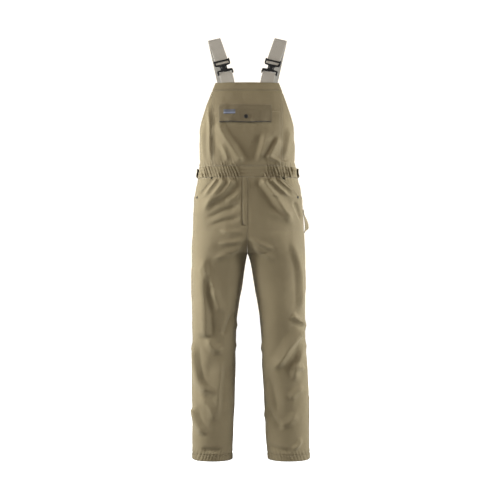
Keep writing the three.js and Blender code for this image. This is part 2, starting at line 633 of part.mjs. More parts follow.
// ---- Rivets, hammer loop and leg vent ----
for (const [word, side] of [["right", -1], ["left", 1]]) {
  const z = POCKET_MOUTH.bottomZ - 7;
  const frame = onTorso(turnAt(side * RIVET_X, z), z, 0, `${word}_rivet_frame`);
  const low = -0.25; // the panel's facets lie a little inside the true curve
  const top = low + RIVET_HEIGHT;
  const button = [
    [0, low],
    [RIVET_RADIUS, low],
    [RIVET_RADIUS, low + RIVET_RIM],
    [RIVET_RADIUS * RIVET_CROWN, top],
    [0, top],
  ];
  add(`${word}_pocket_rivet`, turned(button), METAL, frame);
}
{
  const { topDeg, bottomDeg, top, bottom, width, bow } = HAMMER_LOOP;
  const steps = 12;
  const frames = Array.from({ length: steps + 1 }, (_, i) => {
    const t = i / steps;
    const z = top + t * (bottom - top);
    const deg = topDeg + t * (bottomDeg - topDeg);
    const out = normalAt(1, deg, z);
    const across = new THREE.Vector3(0, 0, 1).cross(out).normalize();
    const leaving = THREE.MathUtils.smoothstep(t, 0.1, 0.75);
    const returning = THREE.MathUtils.smoothstep(t, 0.82, 1);
    const stand = bow * leaving * (1 - returning);
    const centre = skin(1, deg, z, GAP + TRIM + LOOP_LAY + stand);
    return { centre, across, out };
  });
  add("hammer_loop", strap(frames, width, 2 * TRIM), TWILL);
}
{
  const { frontDeg, backDeg, top, bottom } = VENT;
  const place = (s, t, offset) =>
    skin(1, frontDeg + s * (backDeg - frontDeg), bottom + t * (top - bottom), offset);
  add("leg_vent_placket", shell(place, 2, 6, GAP, GAP + TRIM), TWILL);
  const tack = (s, t, offset) => skin(1, 86 + s * 8, top - 12 + t * 10, offset);
  add("leg_vent_bartack", shell(tack, 2, 1, 2 * GAP + TRIM, 2 * GAP + TRIM + 1), LINING);
}

// ---- Braces ----
// A direction turned from out towards up by some degrees.
function leaning(out, up, degrees) {
  const angle = degrees * RAD;
  return out.clone().multiplyScalar(Math.cos(angle)).addScaledVector(up, Math.sin(angle));
}

function brace(word, side) {
  const mirrored = ({ x, y, z }) => new THREE.Vector3(CENTRE_X + side * x, y, z);
  const fold = mirrored(STRAP_FOLD);
  const origin = mirrored(BUCKLE_AT);
  const up = fold.clone().sub(origin);
  const reach = up.length();
  up.normalize();
  const across = new THREE.Vector3(1, 0, 0).addScaledVector(up, -up.x).normalize();
  const out = across.clone().cross(up).normalize();
  const local = (y, z) => origin.clone().addScaledVector(up, y).addScaledVector(out, z);

  // Front strap: down from the fold, round the male half's bar and up again behind as the tail.
  const front = [];
  const wrap = (y, z, outwards) => front.push({ centre: local(y, z), across, out: outwards });
  const stations = [reach - 4, reach * 0.75, reach * 0.5, MALE_BAR_Y + 8, MALE_BAR_Y];
  for (const y of stations) wrap(y, WRAP_RADIUS, out);
  for (const turn of [36, 72, 108, 144]) {
    const direction = leaning(out, up, -turn);
    const centre = local(MALE_BAR_Y, 0).addScaledVector(direction, WRAP_RADIUS);
    front.push({ centre, across, out: direction });
  }
  const behind = out.clone().negate();
  for (const y of [MALE_BAR_Y, MALE_BAR_Y + 10, MALE_BAR_Y + TAIL_LENGTH]) wrap(y, -WRAP_RADIUS, behind);
  add(`${word}_front_strap`, strap(front, STRAP_WIDTH, STRAP), ELASTIC);

  // Back strap: from inside the back's top edge, up and over the fold.
  const depth = -CLOTH - GAP - STRAP_SAG - STRAP / 2;
  const back = [];
  for (const z of [BACK_STRAP.bottomZ, (BACK_STRAP.bottomZ + BACK_TOP_Z) / 2, BACK_TOP_Z + 1]) {
    const turn = 180 - Math.abs(turnAt(side * BACK_STRAP.x, z));
    const normal = normalAt(side, turn, z);
    const along = new THREE.Vector3(0, 0, 1).cross(normal).normalize().negate();
    back.push({ centre: skin(side, turn, z, depth), across: along, out: normal });
  }
  const low = back[2];
  const foldBack = local(reach - FOLD_RADIUS * 2, -FOLD_RADIUS);
  for (const share of [0.33, 0.66, 0.97]) {
    const centre = low.centre.clone().lerp(foldBack, share);
    const along = low.across.clone().lerp(across, share).normalize();
    const away = along.clone().cross(foldBack.clone().sub(low.centre)).normalize().negate();
    back.push({ centre, across: along, out: away });
  }
  for (const turn of [150, 110, 70, 30]) {
    const direction = leaning(out, up, turn);
    const centre = local(reach - FOLD_RADIUS, FOLD_RADIUS * 0.6).addScaledVector(direction, FOLD_RADIUS);
    back.push({ centre, across, out: direction });
  }
  add(`${word}_back_strap`, strap(back, STRAP_WIDTH, STRAP), ELASTIC);

  // Lower strap: both ends sewn inside the bib's top, looped over the female half's bar.
  const loop = [];
  const bibFrame = (z, offset) => {
    const turn = Math.abs(turnAt(side * TAB_STRAP.x, Math.min(z, BIB_TOP_Z)));
    const normal = normalAt(side, turn, Math.min(z, BIB_TOP_Z));
    const along = new THREE.Vector3(0, 0, 1).cross(normal).normalize();
    const centre = skin(side, turn, Math.min(z, BIB_TOP_Z), offset);
    centre.z = z;
    return { centre, across: along, out: normal };
  };
  const outer = -CLOTH - GAP - STRAP_SAG - STRAP / 2;
  const inner = outer - STRAP - GAP;
  const heights = [TAB_STRAP.bottomZ, (TAB_STRAP.bottomZ + BIB_TOP_Z) / 2, BIB_TOP_Z + 2];
  for (const z of heights) loop.push(bibFrame(z, outer));
  for (const turn of [-20, 20, 60, 100, 140, 180]) {
    const direction = leaning(out, up, turn);
    const centre = local(FEMALE_BAR_Y, 0).addScaledVector(direction, WRAP_RADIUS);
    loop.push({ centre, across, out: direction });
  }
  const returning = (frame) => ({ ...frame, out: frame.out.clone().negate() });
  for (const z of heights.toReversed()) loop.push(returning(bibFrame(z, inner)));
  add(`${word}_tab_strap`, strap(loop, STRAP_WIDTH, STRAP), ELASTIC);

  buckle(word, framed(origin, across, up, out, `${word}_buckle_frame`));
}

// A plate drawn as half an outline, from the centre line round to the centre line, and mirrored.
function plateOf(drawHalf, z0, z1) {
  const half = new THREE.Shape();
  drawHalf(half);
  const right = half.getPoints(8);
  const left = right.map((p) => new THREE.Vector2(-p.x, p.y)).reverse();
  const shape = new THREE.Shape([...right, ...left]);
  return new THREE.ExtrudeGeometry(shape, { depth: z1 - z0, bevelEnabled: false }).translate(0, 0, z0);
}

const crossBar = (y, z, radius) =>
  new THREE.CylinderGeometry(radius, radius, 2 * SLOT_HALF + 2, 12).rotateZ(Math.PI / 2).translate(0, y, z);

function buckle(word, frame) {
  // Male half: a frame with two ears, the bar that the strap turns round, a bar over the strap,
// and a guide tongue.
  const slotTop = MALE_BAR_Y - WRAP_RADIUS - STRAP;
  const base = plateOf((s) => {
    s.moveTo(0, PARTING_Y);
    s.lineTo(PRONG.outer, PARTING_Y);
    s.quadraticCurveTo(14, 9.5, 23, 10);
    s.quadraticCurveTo(FRAME_HALF, 11, FRAME_HALF, 18);
    s.lineTo(FRAME_HALF, 33);
    s.quadraticCurveTo(FRAME_HALF, 36, 28.5, 36);
    s.lineTo(SLOT_HALF, 36);
    s.lineTo(SLOT_HALF, slotTop);
    s.lineTo(0, slotTop);
  }, -HOUSING_HALF, HOUSING_HALF);
  const strapFace = WRAP_RADIUS + STRAP / 2 + GAP;
  const ears = [-1, 1].map((k) => {
    const [x0, x1] = [k * SLOT_HALF, k * FRAME_HALF].sort((a, b) => a - b);
    return box(x0, x1, TOP_BAR.y - 5, TOP_BAR.y + 5, HOUSING_HALF - 1, strapFace + 3);
  });
  const barEnd = SLOT_HALF + 1;
  const [barLow, barHigh] = [TOP_BAR.y - TOP_BAR.half, TOP_BAR.y + TOP_BAR.half];
  const topBar = box(-barEnd, barEnd, barLow, barHigh, strapFace, strapFace + 3);
  const tongue = box(-TONGUE.half, TONGUE.half, TONGUE.bottom, PARTING_Y + 1, -TONGUE.thick, TONGUE.thick);
  const maleBar = crossBar(MALE_BAR_Y, 0, BAR_RADIUS);
  add(`${word}_buckle_male`, join(base, ...ears, topBar, maleBar, tongue), PLASTIC, frame);

  // Two spring prongs, one each side of the sleeve.
  for (const [name, k] of [["inner", -1], ["outer", 1]]) {
    const side = word === "left" ? k : -k;
    const [x0, x1] = [side * PRONG.inner, side * PRONG.outer].sort((a, b) => a - b);
    const prong = box(x0, x1, PRONG.bottom, PARTING_Y - PRONG.gap, -PRONG.half, PRONG.half);
    add(`${word}_buckle_${name}_prong`, prong, PLASTIC, frame);
  }

  // Female half: a sleeve for the tongue, flaring to a flange, two ears and the bar that its
  // strap loops over.
  const slotBottom = FEMALE_BAR_Y + WRAP_RADIUS + STRAP;
  const body = plateOf((s) => {
    s.moveTo(0, slotBottom);
    s.lineTo(SLOT_HALF, slotBottom);
    s.lineTo(SLOT_HALF, -33);
    s.quadraticCurveTo(29, -35, FRAME_HALF, -31);
    s.lineTo(FRAME_HALF, -21);
    s.quadraticCurveTo(FRAME_HALF, -17, 24, -16.5);
    s.quadraticCurveTo(8.5, -16, SLEEVE_HALF, -9);
    s.lineTo(SLEEVE_HALF, PARTING_Y - GAP);
    s.lineTo(0, PARTING_Y - GAP);
  }, -HOUSING_HALF, HOUSING_HALF);
  const { half, bottom, thick, clearance } = TONGUE;
  const [wide, deep] = [half + clearance, thick + clearance];
  const hollow = box(-wide, wide, bottom - 1, PARTING_Y + 1, -deep, deep);
  const femaleBar = crossBar(FEMALE_BAR_Y, 0, BAR_RADIUS);
  add(`${word}_buckle_female`, join(cut(body, hollow), femaleBar), PLASTIC, frame);
}

brace("right", -1);
brace("left", 1);

// Put the origin under the middle of the whole piece, at the hems.
const bounds = new THREE.Box3().setFromObject(object, true);
const middle = bounds.getCenter(new THREE.Vector3());
object.position.set(-middle.x, -middle.y, -bounds.min.z);

export default object;
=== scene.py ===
"""Bib overalls, dressed for show: twill panels, stitching, braces, buckles and studs over the fixed frame.

The garment is worked out in millimetres on one surface, the same one that the frame's solids lie on, and
turned into metres when a mesh is made. Each cloth piece is a doubled, creased sheet laid at its own depth
on that surface.
"""

import logging
import math
from collections.abc import Callable, Sequence
from dataclasses import dataclass, field
from enum import Enum

import bmesh
import bpy
import numpy as np
from mathutils import Matrix, Vector

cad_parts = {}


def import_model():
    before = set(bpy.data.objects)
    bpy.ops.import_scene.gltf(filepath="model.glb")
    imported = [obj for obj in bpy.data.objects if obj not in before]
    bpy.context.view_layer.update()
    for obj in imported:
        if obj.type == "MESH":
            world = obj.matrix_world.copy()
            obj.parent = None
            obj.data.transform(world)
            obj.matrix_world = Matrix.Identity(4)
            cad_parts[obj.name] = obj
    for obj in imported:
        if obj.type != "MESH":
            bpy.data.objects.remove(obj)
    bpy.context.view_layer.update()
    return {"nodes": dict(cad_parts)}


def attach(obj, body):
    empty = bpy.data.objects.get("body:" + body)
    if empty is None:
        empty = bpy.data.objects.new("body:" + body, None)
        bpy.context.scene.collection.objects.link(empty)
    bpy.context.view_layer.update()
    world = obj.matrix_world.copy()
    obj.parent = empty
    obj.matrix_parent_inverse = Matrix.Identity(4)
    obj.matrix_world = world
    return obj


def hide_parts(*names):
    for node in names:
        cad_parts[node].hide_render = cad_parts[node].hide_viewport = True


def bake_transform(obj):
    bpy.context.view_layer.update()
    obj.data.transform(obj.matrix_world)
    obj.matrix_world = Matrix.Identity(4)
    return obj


log = logging.getLogger("overalls")

MM = 0.001
FRAME_SHIFT = np.array([-1.662, 1.093, 0.009])  # from the garment's own origin to the frame's
CENTRE_X = -10.0
CROTCH_Z = 801.0
RISE_END_Z = 885.0
BAND_BOTTOM_Z = 1090.0
BAND_TOP_Z = 1132.0
BIB_TOP_Z = 1450.0
BACK_TOP_Z = 1375.0
SIDE_TOP_Z = 1265.0
TORSO_HALF = 470.0  # half way round the gathered waist
CLOTH = 1.5
TRIM = 1.2
GAP = 0.3

Array = np.ndarray
Spot = tuple[Array, Array, Array]
Place = Callable[[Array, Array], Spot]
Lift = Callable[[Array, Array, Array], Array] | float


def smoothstep(x: Array, low: float, high: float) -> Array:
    """Rise smoothly from 0 at low to 1 at high.

    Args:
        x: Values to map.
        low: Where the rise starts.
        high: Where it ends; it may be under low, for a fall.

    Returns:
        The share of the rise at each value.
    """
    t = np.clip((np.asarray(x, float) - low) / (high - low), 0.0, 1.0)
    return t * t * (3.0 - 2.0 * t)


def window(x: Array, low: float, high: float, fade: float) -> Array:
    """Return 1 between low and high, falling to 0 over fade outside them."""
    return smoothstep(x, low - fade, low) * smoothstep(x, high + fade, high)


def filled(value: float, like: Array) -> Array:
    """Return an array of one value, in another array's shape."""
    return value + 0.0 * like


class Noise:
    """Smooth, seeded value noise on a repeating grid."""

    def __init__(self, seed: int) -> None:
        """Fill the grid from a seed."""
        self.grid = np.random.default_rng(seed).random((48, 48, 48)) * 2.0 - 1.0

    def at(self, x: Array, y: Array, z: Array) -> Array:
        """Return noise from -1 to 1 at points given in grid cells.

        Args:
            x: First coordinate.
            y: Second coordinate.
            z: Third coordinate.

        Returns:
            One value for each point.
        """
        whole = [np.floor(v).astype(int) for v in (x, y, z)]
        part = [v - w for v, w in zip((x, y, z), whole)]
        ease = [p * p * (3.0 - 2.0 * p) for p in part]
        total = np.zeros(np.broadcast(x, y, z).shape)
        for i in (0, 1):
            for j in (0, 1):
                for k in (0, 1):
                    value = self.grid[(whole[0] + i) % 48, (whole[1] + j) % 48, (whole[2] + k) % 48]
                    for e, corner in zip(ease, (i, j, k)):
                        value = value * (e if corner else 1.0 - e)
                    total = total + value
        return total


@dataclass(frozen=True)
class SizeChart:
    """Half girths of the standing garment at each height, in millimetres. right and left are the wearer's."""

    z: tuple[float, ...] = (
        0, 75, 160, 300, 420, 520, 620, 700, 770, 801, 890, 970, 1050, 1110, 1165, 1300, 1455
    )
    out_right: tuple[float, ...] = (
        -222, -226, -226, -226, -226, -226.5, -227.5, -227, -226, -226, -222, -218, -209, -200,
        -195, -195, -195,
    )
    out_left: tuple[float, ...] = (
        230, 230, 230, 227, 219, 217, 215, 214.5, 216, 215, 211, 207, 195, 181, 172, 171.5, 171.5
    )
    in_right: tuple[float, ...] = (-70, -64, -61, -58.5, -57, -53, -40, -27, -16, -10)
    in_left: tuple[float, ...] = (69, 62, 58, 51, 45.5, 40, 27, 14, 0, -10)
    front: tuple[float, ...] = (66, 67, 70, 76, 80, 85, 92, 98, 105, 109, 118, 118, 118, 118, 118, 118, 107)
    back: tuple[float, ...] = (66, 72, 78, 80, 79, 84, 93, 100, 108, 113, 123, 121, 112, 106, 106, 112, 106)
    centre_y: tuple[float, ...] = (2, 3, 4, 1, -2, -2, 0, 0, 0, 0, 0, 0, 0, 0, 0, 0, 0)
    squareness: tuple[float, ...] = (
        2.1, 2.1, 2.1, 2.15, 2.2, 2.2, 2.25, 2.3, 2.35, 2.4, 2.6, 2.7, 2.8, 2.8, 2.8, 2.8, 2.8
    )

    def at(self, column: str, z: Array) -> Array:
        """Read a column at any height, by a monotone cubic that never overshoots.

        Args:
            column: The column's name.
            z: Heights.

        Returns:
            The column's value at each height.
        """
        values = np.array(getattr(self, column), float)
        heights = np.array(self.z[: len(values)], float)
        slopes = np.diff(values) / np.diff(heights)
        tangents = np.empty(len(values))
        tangents[0], tangents[-1] = slopes[0], slopes[-1]
        before, after = slopes[:-1], slopes[1:]
        total = before + after
        safe = np.where(total == 0, 1.0, total)
        tangents[1:-1] = np.where(before * after <= 0, 0.0, 2 * before * after / safe)
        z = np.clip(z, heights[0], heights[-1])
        i = np.clip(np.searchsorted(heights, z, side="right") - 1, 0, len(values) - 2)
        span = heights[i + 1] - heights[i]
        t = (z - heights[i]) / span
        return (
            (2 * t**3 - 3 * t**2 + 1) * values[i]
            + (t**3 - 2 * t**2 + t) * span * tangents[i]
            + (3 * t**2 - 2 * t**3) * values[i + 1]
            + (t**3 - t**2) * span * tangents[i + 1]
        )


class Face(Enum):
    """The side of the garment that a crease is seen on."""

    FRONT = (1, -1.0)
    BACK = (1, 1.0)
    LEFT = (0, 1.0)
    RIGHT = (0, -1.0)


@dataclass(frozen=True)
class Crease:
    """A fold in the cloth, along a path on one face.

    path holds (across, height) pairs in millimetres: across is X on the front and back, and Y on the sides.
    height is how proud it stands; a valley's is negative. lean makes one flank steeper, from -0.7 to 0.7.
    """

    face: Face
    path: tuple[tuple[float, float], ...]
    height: float
    width: float
    lean: float = 0.0
    start: float = 0.3
    end: float = 0.3

    # Shares of the width: how far it is felt, its round crest, its flanks, and the trough beside them.
    REACH = 3.2
    CREST = 0.2
    FLANK = 1.9
    TROUGH = 2.4
    TROUGH_DEPTH = 0.16  # share of the height
    SIDE_SHARE = 0.4  # share of the height that shows on the two sides

    def rise(self, points: Array, normals: Array) -> Array:
        """Return how far the crease pushes each point outwards.

        Args:
            points: Points on the garment, in millimetres.
            normals: The surface's normals there.

        Returns:
            A distance for each point.
        """
        axis, facing = self.face.value
        across = points[..., 0] if axis == 1 else points[..., 1]
        line = self._smooth_path()
        reach = self.REACH * self.width
        near = (
            (across > line[:, 0].min() - reach)
            & (across < line[:, 0].max() + reach)
            & (points[..., 2] > line[:, 1].min() - reach)
            & (points[..., 2] < line[:, 1].max() + reach)
            & (normals[..., axis] * facing > 0.02)
        )
        rise = np.zeros(across.shape)
        if not near.any():
            return rise
        px, pz = across[near], points[..., 2][near]
        best = np.full(px.shape, 1e9)
        signed = np.zeros(px.shape)
        share = np.zeros(px.shape)
        total = len(line) - 1
        for i in range(total):
            ax, az = line[i]
            dx, dz = line[i + 1] - line[i]
            length2 = dx * dx + dz * dz
            t = np.clip(((px - ax) * dx + (pz - az) * dz) / length2, 0.0, 1.0)
            ox, oz = px - ax - t * dx, pz - az - t * dz
            distance = ox * ox + oz * oz
            closer = distance < best
            best = np.where(closer, distance, best)
            signed = np.where(closer, np.sign(dx * oz - dz * ox), signed)
            share = np.where(closer, (i + t) / total, share)
        distance = np.sqrt(best)
        flank = self.width * (1.0 + self.lean * signed)
        crest = self.CREST * self.width
        tent = np.clip(1.0 - (np.sqrt(distance**2 + crest**2) - crest) / (self.FLANK * flank), 0.0, 1.0)
        trough = np.exp(-((distance / (self.TROUGH * self.width)) ** 2))
        profile = tent**1.5 - self.TROUGH_DEPTH * trough
        ends = smoothstep(share, 0.0, self.start) * smoothstep(share, 1.0, 1.0 - self.end)
        seen = smoothstep(normals[..., axis][near] * facing, 0.14, 0.66)
        rise[near] = self.height * profile * ends * seen * (1.0 if axis == 1 else self.SIDE_SHARE)
        return rise

    def _smooth_path(self) -> Array:
        """Return the path as a smooth run of short steps."""
        return smooth_curve(np.array(self.path, float), 9)


def smooth_curve(points: Array, steps: int) -> Array:
    """Pass a smooth curve through points.

    Args:
        points: The points, one a row.
        steps: Steps between one point and the next.

    Returns:
        The curve's points, one a row.
    """
    if len(points) < 3:
        t = np.linspace(0.0, 1.0, steps + 1)[:, None]
        return points[0] * (1 - t) + points[-1] * t
    padded = np.vstack([2 * points[0] - points[1], points, 2 * points[-1] - points[-2]])
    rows = []
    for i in range(1, len(padded) - 2):
        a, b, c, d = padded[i - 1 : i + 3]
        for t in np.linspace(0.0, 1.0, steps, endpoint=False):
            rows.append(
                0.5 * (
                    2 * b + (c - a) * t + (2 * a - 5 * b + 4 * c - d) * t**2 + (3 * b - a - 3 * c + d) * t**3
                )
            )
    rows.append(points[-1])
    return np.array(rows)


@dataclass
class Garment:
    """The surface that every cloth piece lies on, with its creases and gathers."""

    chart: SizeChart = field(default_factory=SizeChart)
    creases: tuple[Crease, ...] = ()
    still: tuple[tuple[float, float, float, float], ...] = ()
    fullness: float = 2.75
    limits: tuple[float, float] = (-9.0, 14.0)
    broad: Noise = field(default_factory=lambda: Noise(3))
    fine: Noise = field(default_factory=lambda: Noise(11))

    def section(self, side: Array, z: Array) -> tuple[Array, Array, Array, Array]:
        """Return (centre, half width, squareness, overlap) of one side's oval at each height.

        Args:
            side: +1 for the wearer's left and -1 for the right.
            z: Heights.

        Returns:
            Four arrays. Above the crotch the two sides' ovals overlap less and less, until they are one.
        """
        out = np.where(side > 0, self.chart.at("out_left", z), self.chart.at("out_right", z))
        n = self.chart.at("squareness", z)
        inner = np.where(side > 0, self.chart.at("in_left", z), self.chart.at("in_right", z))
        overlap = np.clip(1.0 - (z - CROTCH_Z) / (RISE_END_Z - CROTCH_Z), 0.0, 1.0)
        torso_half = np.abs(out - CENTRE_X) / (1.0 + overlap)
        leg = z < CROTCH_Z
        centre = np.where(leg, (out + inner) / 2, CENTRE_X + side * overlap * torso_half)
        half = np.where(leg, np.abs(out - inner) / 2, torso_half)
        return centre, half, n, overlap

    def bare(self, side: Array, psi: Array, z: Array) -> Array:
        """Return points of the plain surface. psi is 0 at the front, 90 at the side and 180 at the back."""
        centre, half, n, _ = self.section(side, z)
        angle = np.radians(psi)
        r = (np.abs(np.sin(angle)) ** n + np.abs(np.cos(angle)) ** n) ** (-1 / n)
        depth = np.where(np.cos(angle) > 0, self.chart.at("front", z), self.chart.at("back", z))
        y = self.chart.at("centre_y", z) - depth * r * np.cos(angle)
        return np.stack([centre + side * half * r * np.sin(angle), y, z + 0.0 * angle], axis=-1)

    def normal(self, side: Array, psi: Array, z: Array) -> Array:
        """Return the plain surface's outward normals."""
        low = np.where((z - 0.5 < CROTCH_Z) & (z >= CROTCH_Z), z, z - 0.5)
        high = np.where((z + 0.5 >= CROTCH_Z) & (z < CROTCH_Z), z, z + 0.5)
        around = self.bare(side, psi + 0.2, z) - self.bare(side, psi - 0.2, z)
        up = self.bare(side, psi, high) - self.bare(side, psi, low)
        n = np.cross(around, up) * np.asarray(side, float)[..., None]
        return n / np.maximum(np.linalg.norm(n, axis=-1, keepdims=True), 1e-9)

    def psi_at(self, side: Array, x: Array, z: Array, back: bool = False) -> Array:
        """Return the angle at which one side's oval has this x, on the front or the back."""
        centre, half, n, _ = self.section(side, z)
        share = np.clip(side * (x - centre) / half, -1.0, 1.0)
        angle = np.degrees(np.arctan2(share, np.maximum(1 - np.abs(share) ** n, 0.0) ** (1 / n)))
        return 180.0 - angle if back else angle

    def centre_angle(self, side: Array, z: Array) -> Array:
        """Return the front angle at which one side's oval crosses the centre line."""
        _, _, n, overlap = self.section(side, z)
        angle = -np.degrees(np.arctan2(overlap, np.maximum(1 - overlap**n, 0.0) ** (1 / n)))
        return np.where(z < CROTCH_Z, -90.0, angle)

    def lay(self, side: Array, psi: Array, z: Array, offset: Array | float = 0.0) -> tuple[Array, Array]:
        """Lay points on the creased garment.

        Args:
            side: +1 for the wearer's left and -1 for the right.
            psi: Angles round that side's oval.
            z: Heights.
            offset: Distance out from the cloth's face.

        Returns:
            The points and the plain surface's normals there, in the garment's own millimetres.
        """
        side, psi, z = np.broadcast_arrays(
            np.asarray(side, float), np.asarray(psi, float), np.asarray(z, float)
        )
        points = self.bare(side, psi, z)
        normals = self.normal(side, psi, z)
        rise = self.drape(points, normals) + offset
        out = points + normals * rise[..., None]
        keep = (z >= CROTCH_Z) & (side * (points[..., 0] - CENTRE_X) >= 0)
        held = CENTRE_X + side * np.maximum(side * (out[..., 0] - CENTRE_X), 0.1)
        out[..., 0] = np.where(keep, held, out[..., 0])
        return out, normals

    def drape(self, points: Array, normals: Array) -> Array:
        """Return how far the cloth's creases, gathers and rumples push each point outwards."""
        x, y, z = points[..., 0], points[..., 1], points[..., 2]
        rise = 2.4 * self.broad.at(x / 85, y / 85, z / 120) + 1.3 * self.broad.at(x / 38 + 9, y / 38, z / 52)
        rise = rise + 0.42 * self.fine.at(x / 15, y / 15, z / 19)
        for crease in self.creases:
            rise = rise + self.fullness * crease.rise(points, normals)
        rise = rise + self.gathers(x, y, z, normals)
        rise = rise + self.hem_pucker(x, y, z)
        # The fly lies flat over its zip, and cloth under a stud or rivet lies flat too.
        fly = window(x, -34, -6, 10) * window(z, 908, 1095, 12) * (normals[..., 1] < 0)
        rise = rise * (1.0 - 0.92 * fly)
        for sx, sy, sz, reach in self.still:
            away = np.sqrt((x - sx) ** 2 + (y - sy) ** 2 + (z - sz) ** 2)
            rise = rise * smoothstep(away, 0.7 * reach, 2.0 * reach)
        # The legs never reach into each other under the crotch.
        apart = smoothstep(np.abs(x - CENTRE_X), 6, 45)
        rise = rise * (apart + (1.0 - apart) * smoothstep(z, CROTCH_Z, RISE_END_Z))
        return np.clip(rise, *self.limits)

    def gathers(self, x: Array, y: Array, z: Array, normals: Array) -> Array:
        """Return the small upright ripples that the waist elastic draws in."""
        facing = normals[..., 1] < 0
        front = window(x, -196, -42, 8) + window(x, 62, 178, 8)
        behind = window(x, -176, 150, 12)
        drawn = np.where(facing, front, behind)
        wander = 1.5 * self.fine.at(x / 34, y * 0, z / 46 + 5) + 0.5 * self.fine.at(x / 13, y * 0, z / 50 + 9)
        phase = 2 * np.pi * (x + 0.3 * (z - BAND_TOP_Z))
        ripple = (0.5 + 0.5 * np.sin(phase / 11.0 + 2.0 * wander)) ** 1.6 + 0.3 * np.sin(
            phase / 6.7 + 1.6 * wander
        )
        uneven = np.clip(0.8 + 0.75 * self.fine.at(x / 17 + 3, y * 0, z / 26 + 2), 0.3, 1.6)
        fall = window(z, BAND_BOTTOM_Z, BAND_TOP_Z, 42) ** 1.8
        in_band = window(z, BAND_BOTTOM_Z + 2, BAND_TOP_Z - 2, 2)
        flat_seam = 1.0 - 0.45 * np.exp(-(((z - BAND_TOP_Z) / 3.5) ** 2)) - 0.45 * np.exp(
            -(((z - BAND_BOTTOM_Z) / 3.5) ** 2)
        )
        fly = window(x, -36, -26, 6) * window(z, 1004, 1084, 10) * (normals[..., 1] < 0)
        fly_pucker = fly * 1.6 * np.sin(
            2 * np.pi * (z + 0.5 * x) / 13.0 + 2 * self.fine.at(x * 0, y * 0, z / 20)
        )
        return drawn * ripple * uneven * (2.3 * fall + 1.7 * in_band) * flat_seam + fly_pucker

    def hem_pucker(self, x: Array, y: Array, z: Array) -> Array:
        """Return the roping and puckers along the trouser hems."""
        along = np.arctan2(y, np.abs(x) - 145)
        wave = np.sin(34 * along + 0.16 * z + 3.0 * self.fine.at(x / 30, y / 30, z * 0)) * 1.2
        roll = 1.1 * window(z, 3, 20, 4) - 1.7 * window(z, 23.5, 25, 2.5)
        return window(z, 0, 30, 22) * wave + roll


# ---- Finishes ----


class Slot(Enum):
    """The record's material slots."""

    TWILL = "twill"
    ELASTIC = "elastic"
    LINING = "lining"
    LABEL = "woven_label"
    THREAD = "bartack_thread"
    PLASTIC = "buckle_plastic"
    METAL = "dark_metal"
    ZIP = "zip_metal"


class Graph:
    """A short way to place and link shader nodes in one tree."""

    def __init__(self, tree: bpy.types.NodeTree) -> None:
        """Take the tree to build in."""
        self.tree = tree

    def node(self, kind: str, **settings: object) -> bpy.types.Node:
        """Add a node.

        Args:
            kind: The node type without its ShaderNode prefix.
            **settings: Properties of the node to set.

        Returns:
            The new node.
        """
        made = self.tree.nodes.new(kind if kind.startswith("Node") else "ShaderNode" + kind)
        for key, value in settings.items():
            setattr(made, key, value)
        return made

    def feed(self, socket: bpy.types.NodeSocket, value: object) -> None:
        """Link a socket into an input, or set the input to a plain value."""
        if isinstance(value, bpy.types.NodeSocket):
            self.tree.links.new(value, socket)
        else:
            socket.default_value = value

    def math(self, operation: str, *values: object) -> bpy.types.NodeSocket:
        """Return the result of a Math node on sockets or numbers."""
        made = self.node("Math", operation=operation)
        for socket, value in zip(made.inputs, values):
            self.feed(socket, value)
        return made.outputs[0]

    def mix(self, share: object, low: object, high: object, blend: str = "MIX") -> bpy.types.NodeSocket:
        """Return a mixed colour.

        Args:
            share: Share of the second colour, as a socket or number.
            low: First colour.
            high: Second colour.
            blend: How the two are combined.

        Returns:
            The colour's socket.
        """
        made = self.node("Mix", data_type="RGBA", blend_type=blend)
        self.feed(made.inputs["Factor"], share)
        self.feed(made.inputs["A"], low)
        self.feed(made.inputs["B"], high)
        return made.outputs["Result"]

    def noise(
        self, vector: object, scale: float, detail: float = 3.0, roughness: float = 0.55
    ) -> bpy.types.NodeSocket:
        """Return a noise value over a vector."""
        made = self.node("TexNoise")
        self.feed(made.inputs["Vector"], vector)
        for key, value in (("Scale", scale), ("Detail", detail), ("Roughness", roughness)):
            made.inputs[key].default_value = value
        return made.outputs["Fac"]

    def span(
        self, value: object, low: float, high: float, out_low: float, out_high: float
    ) -> bpy.types.NodeSocket:
        """Return a value moved from one range to another, held at its ends."""
        made = self.node("MapRange")
        for socket, item in zip(made.inputs, (value, low, high, out_low, out_high)):
            self.feed(socket, item)
        return made.outputs[0]


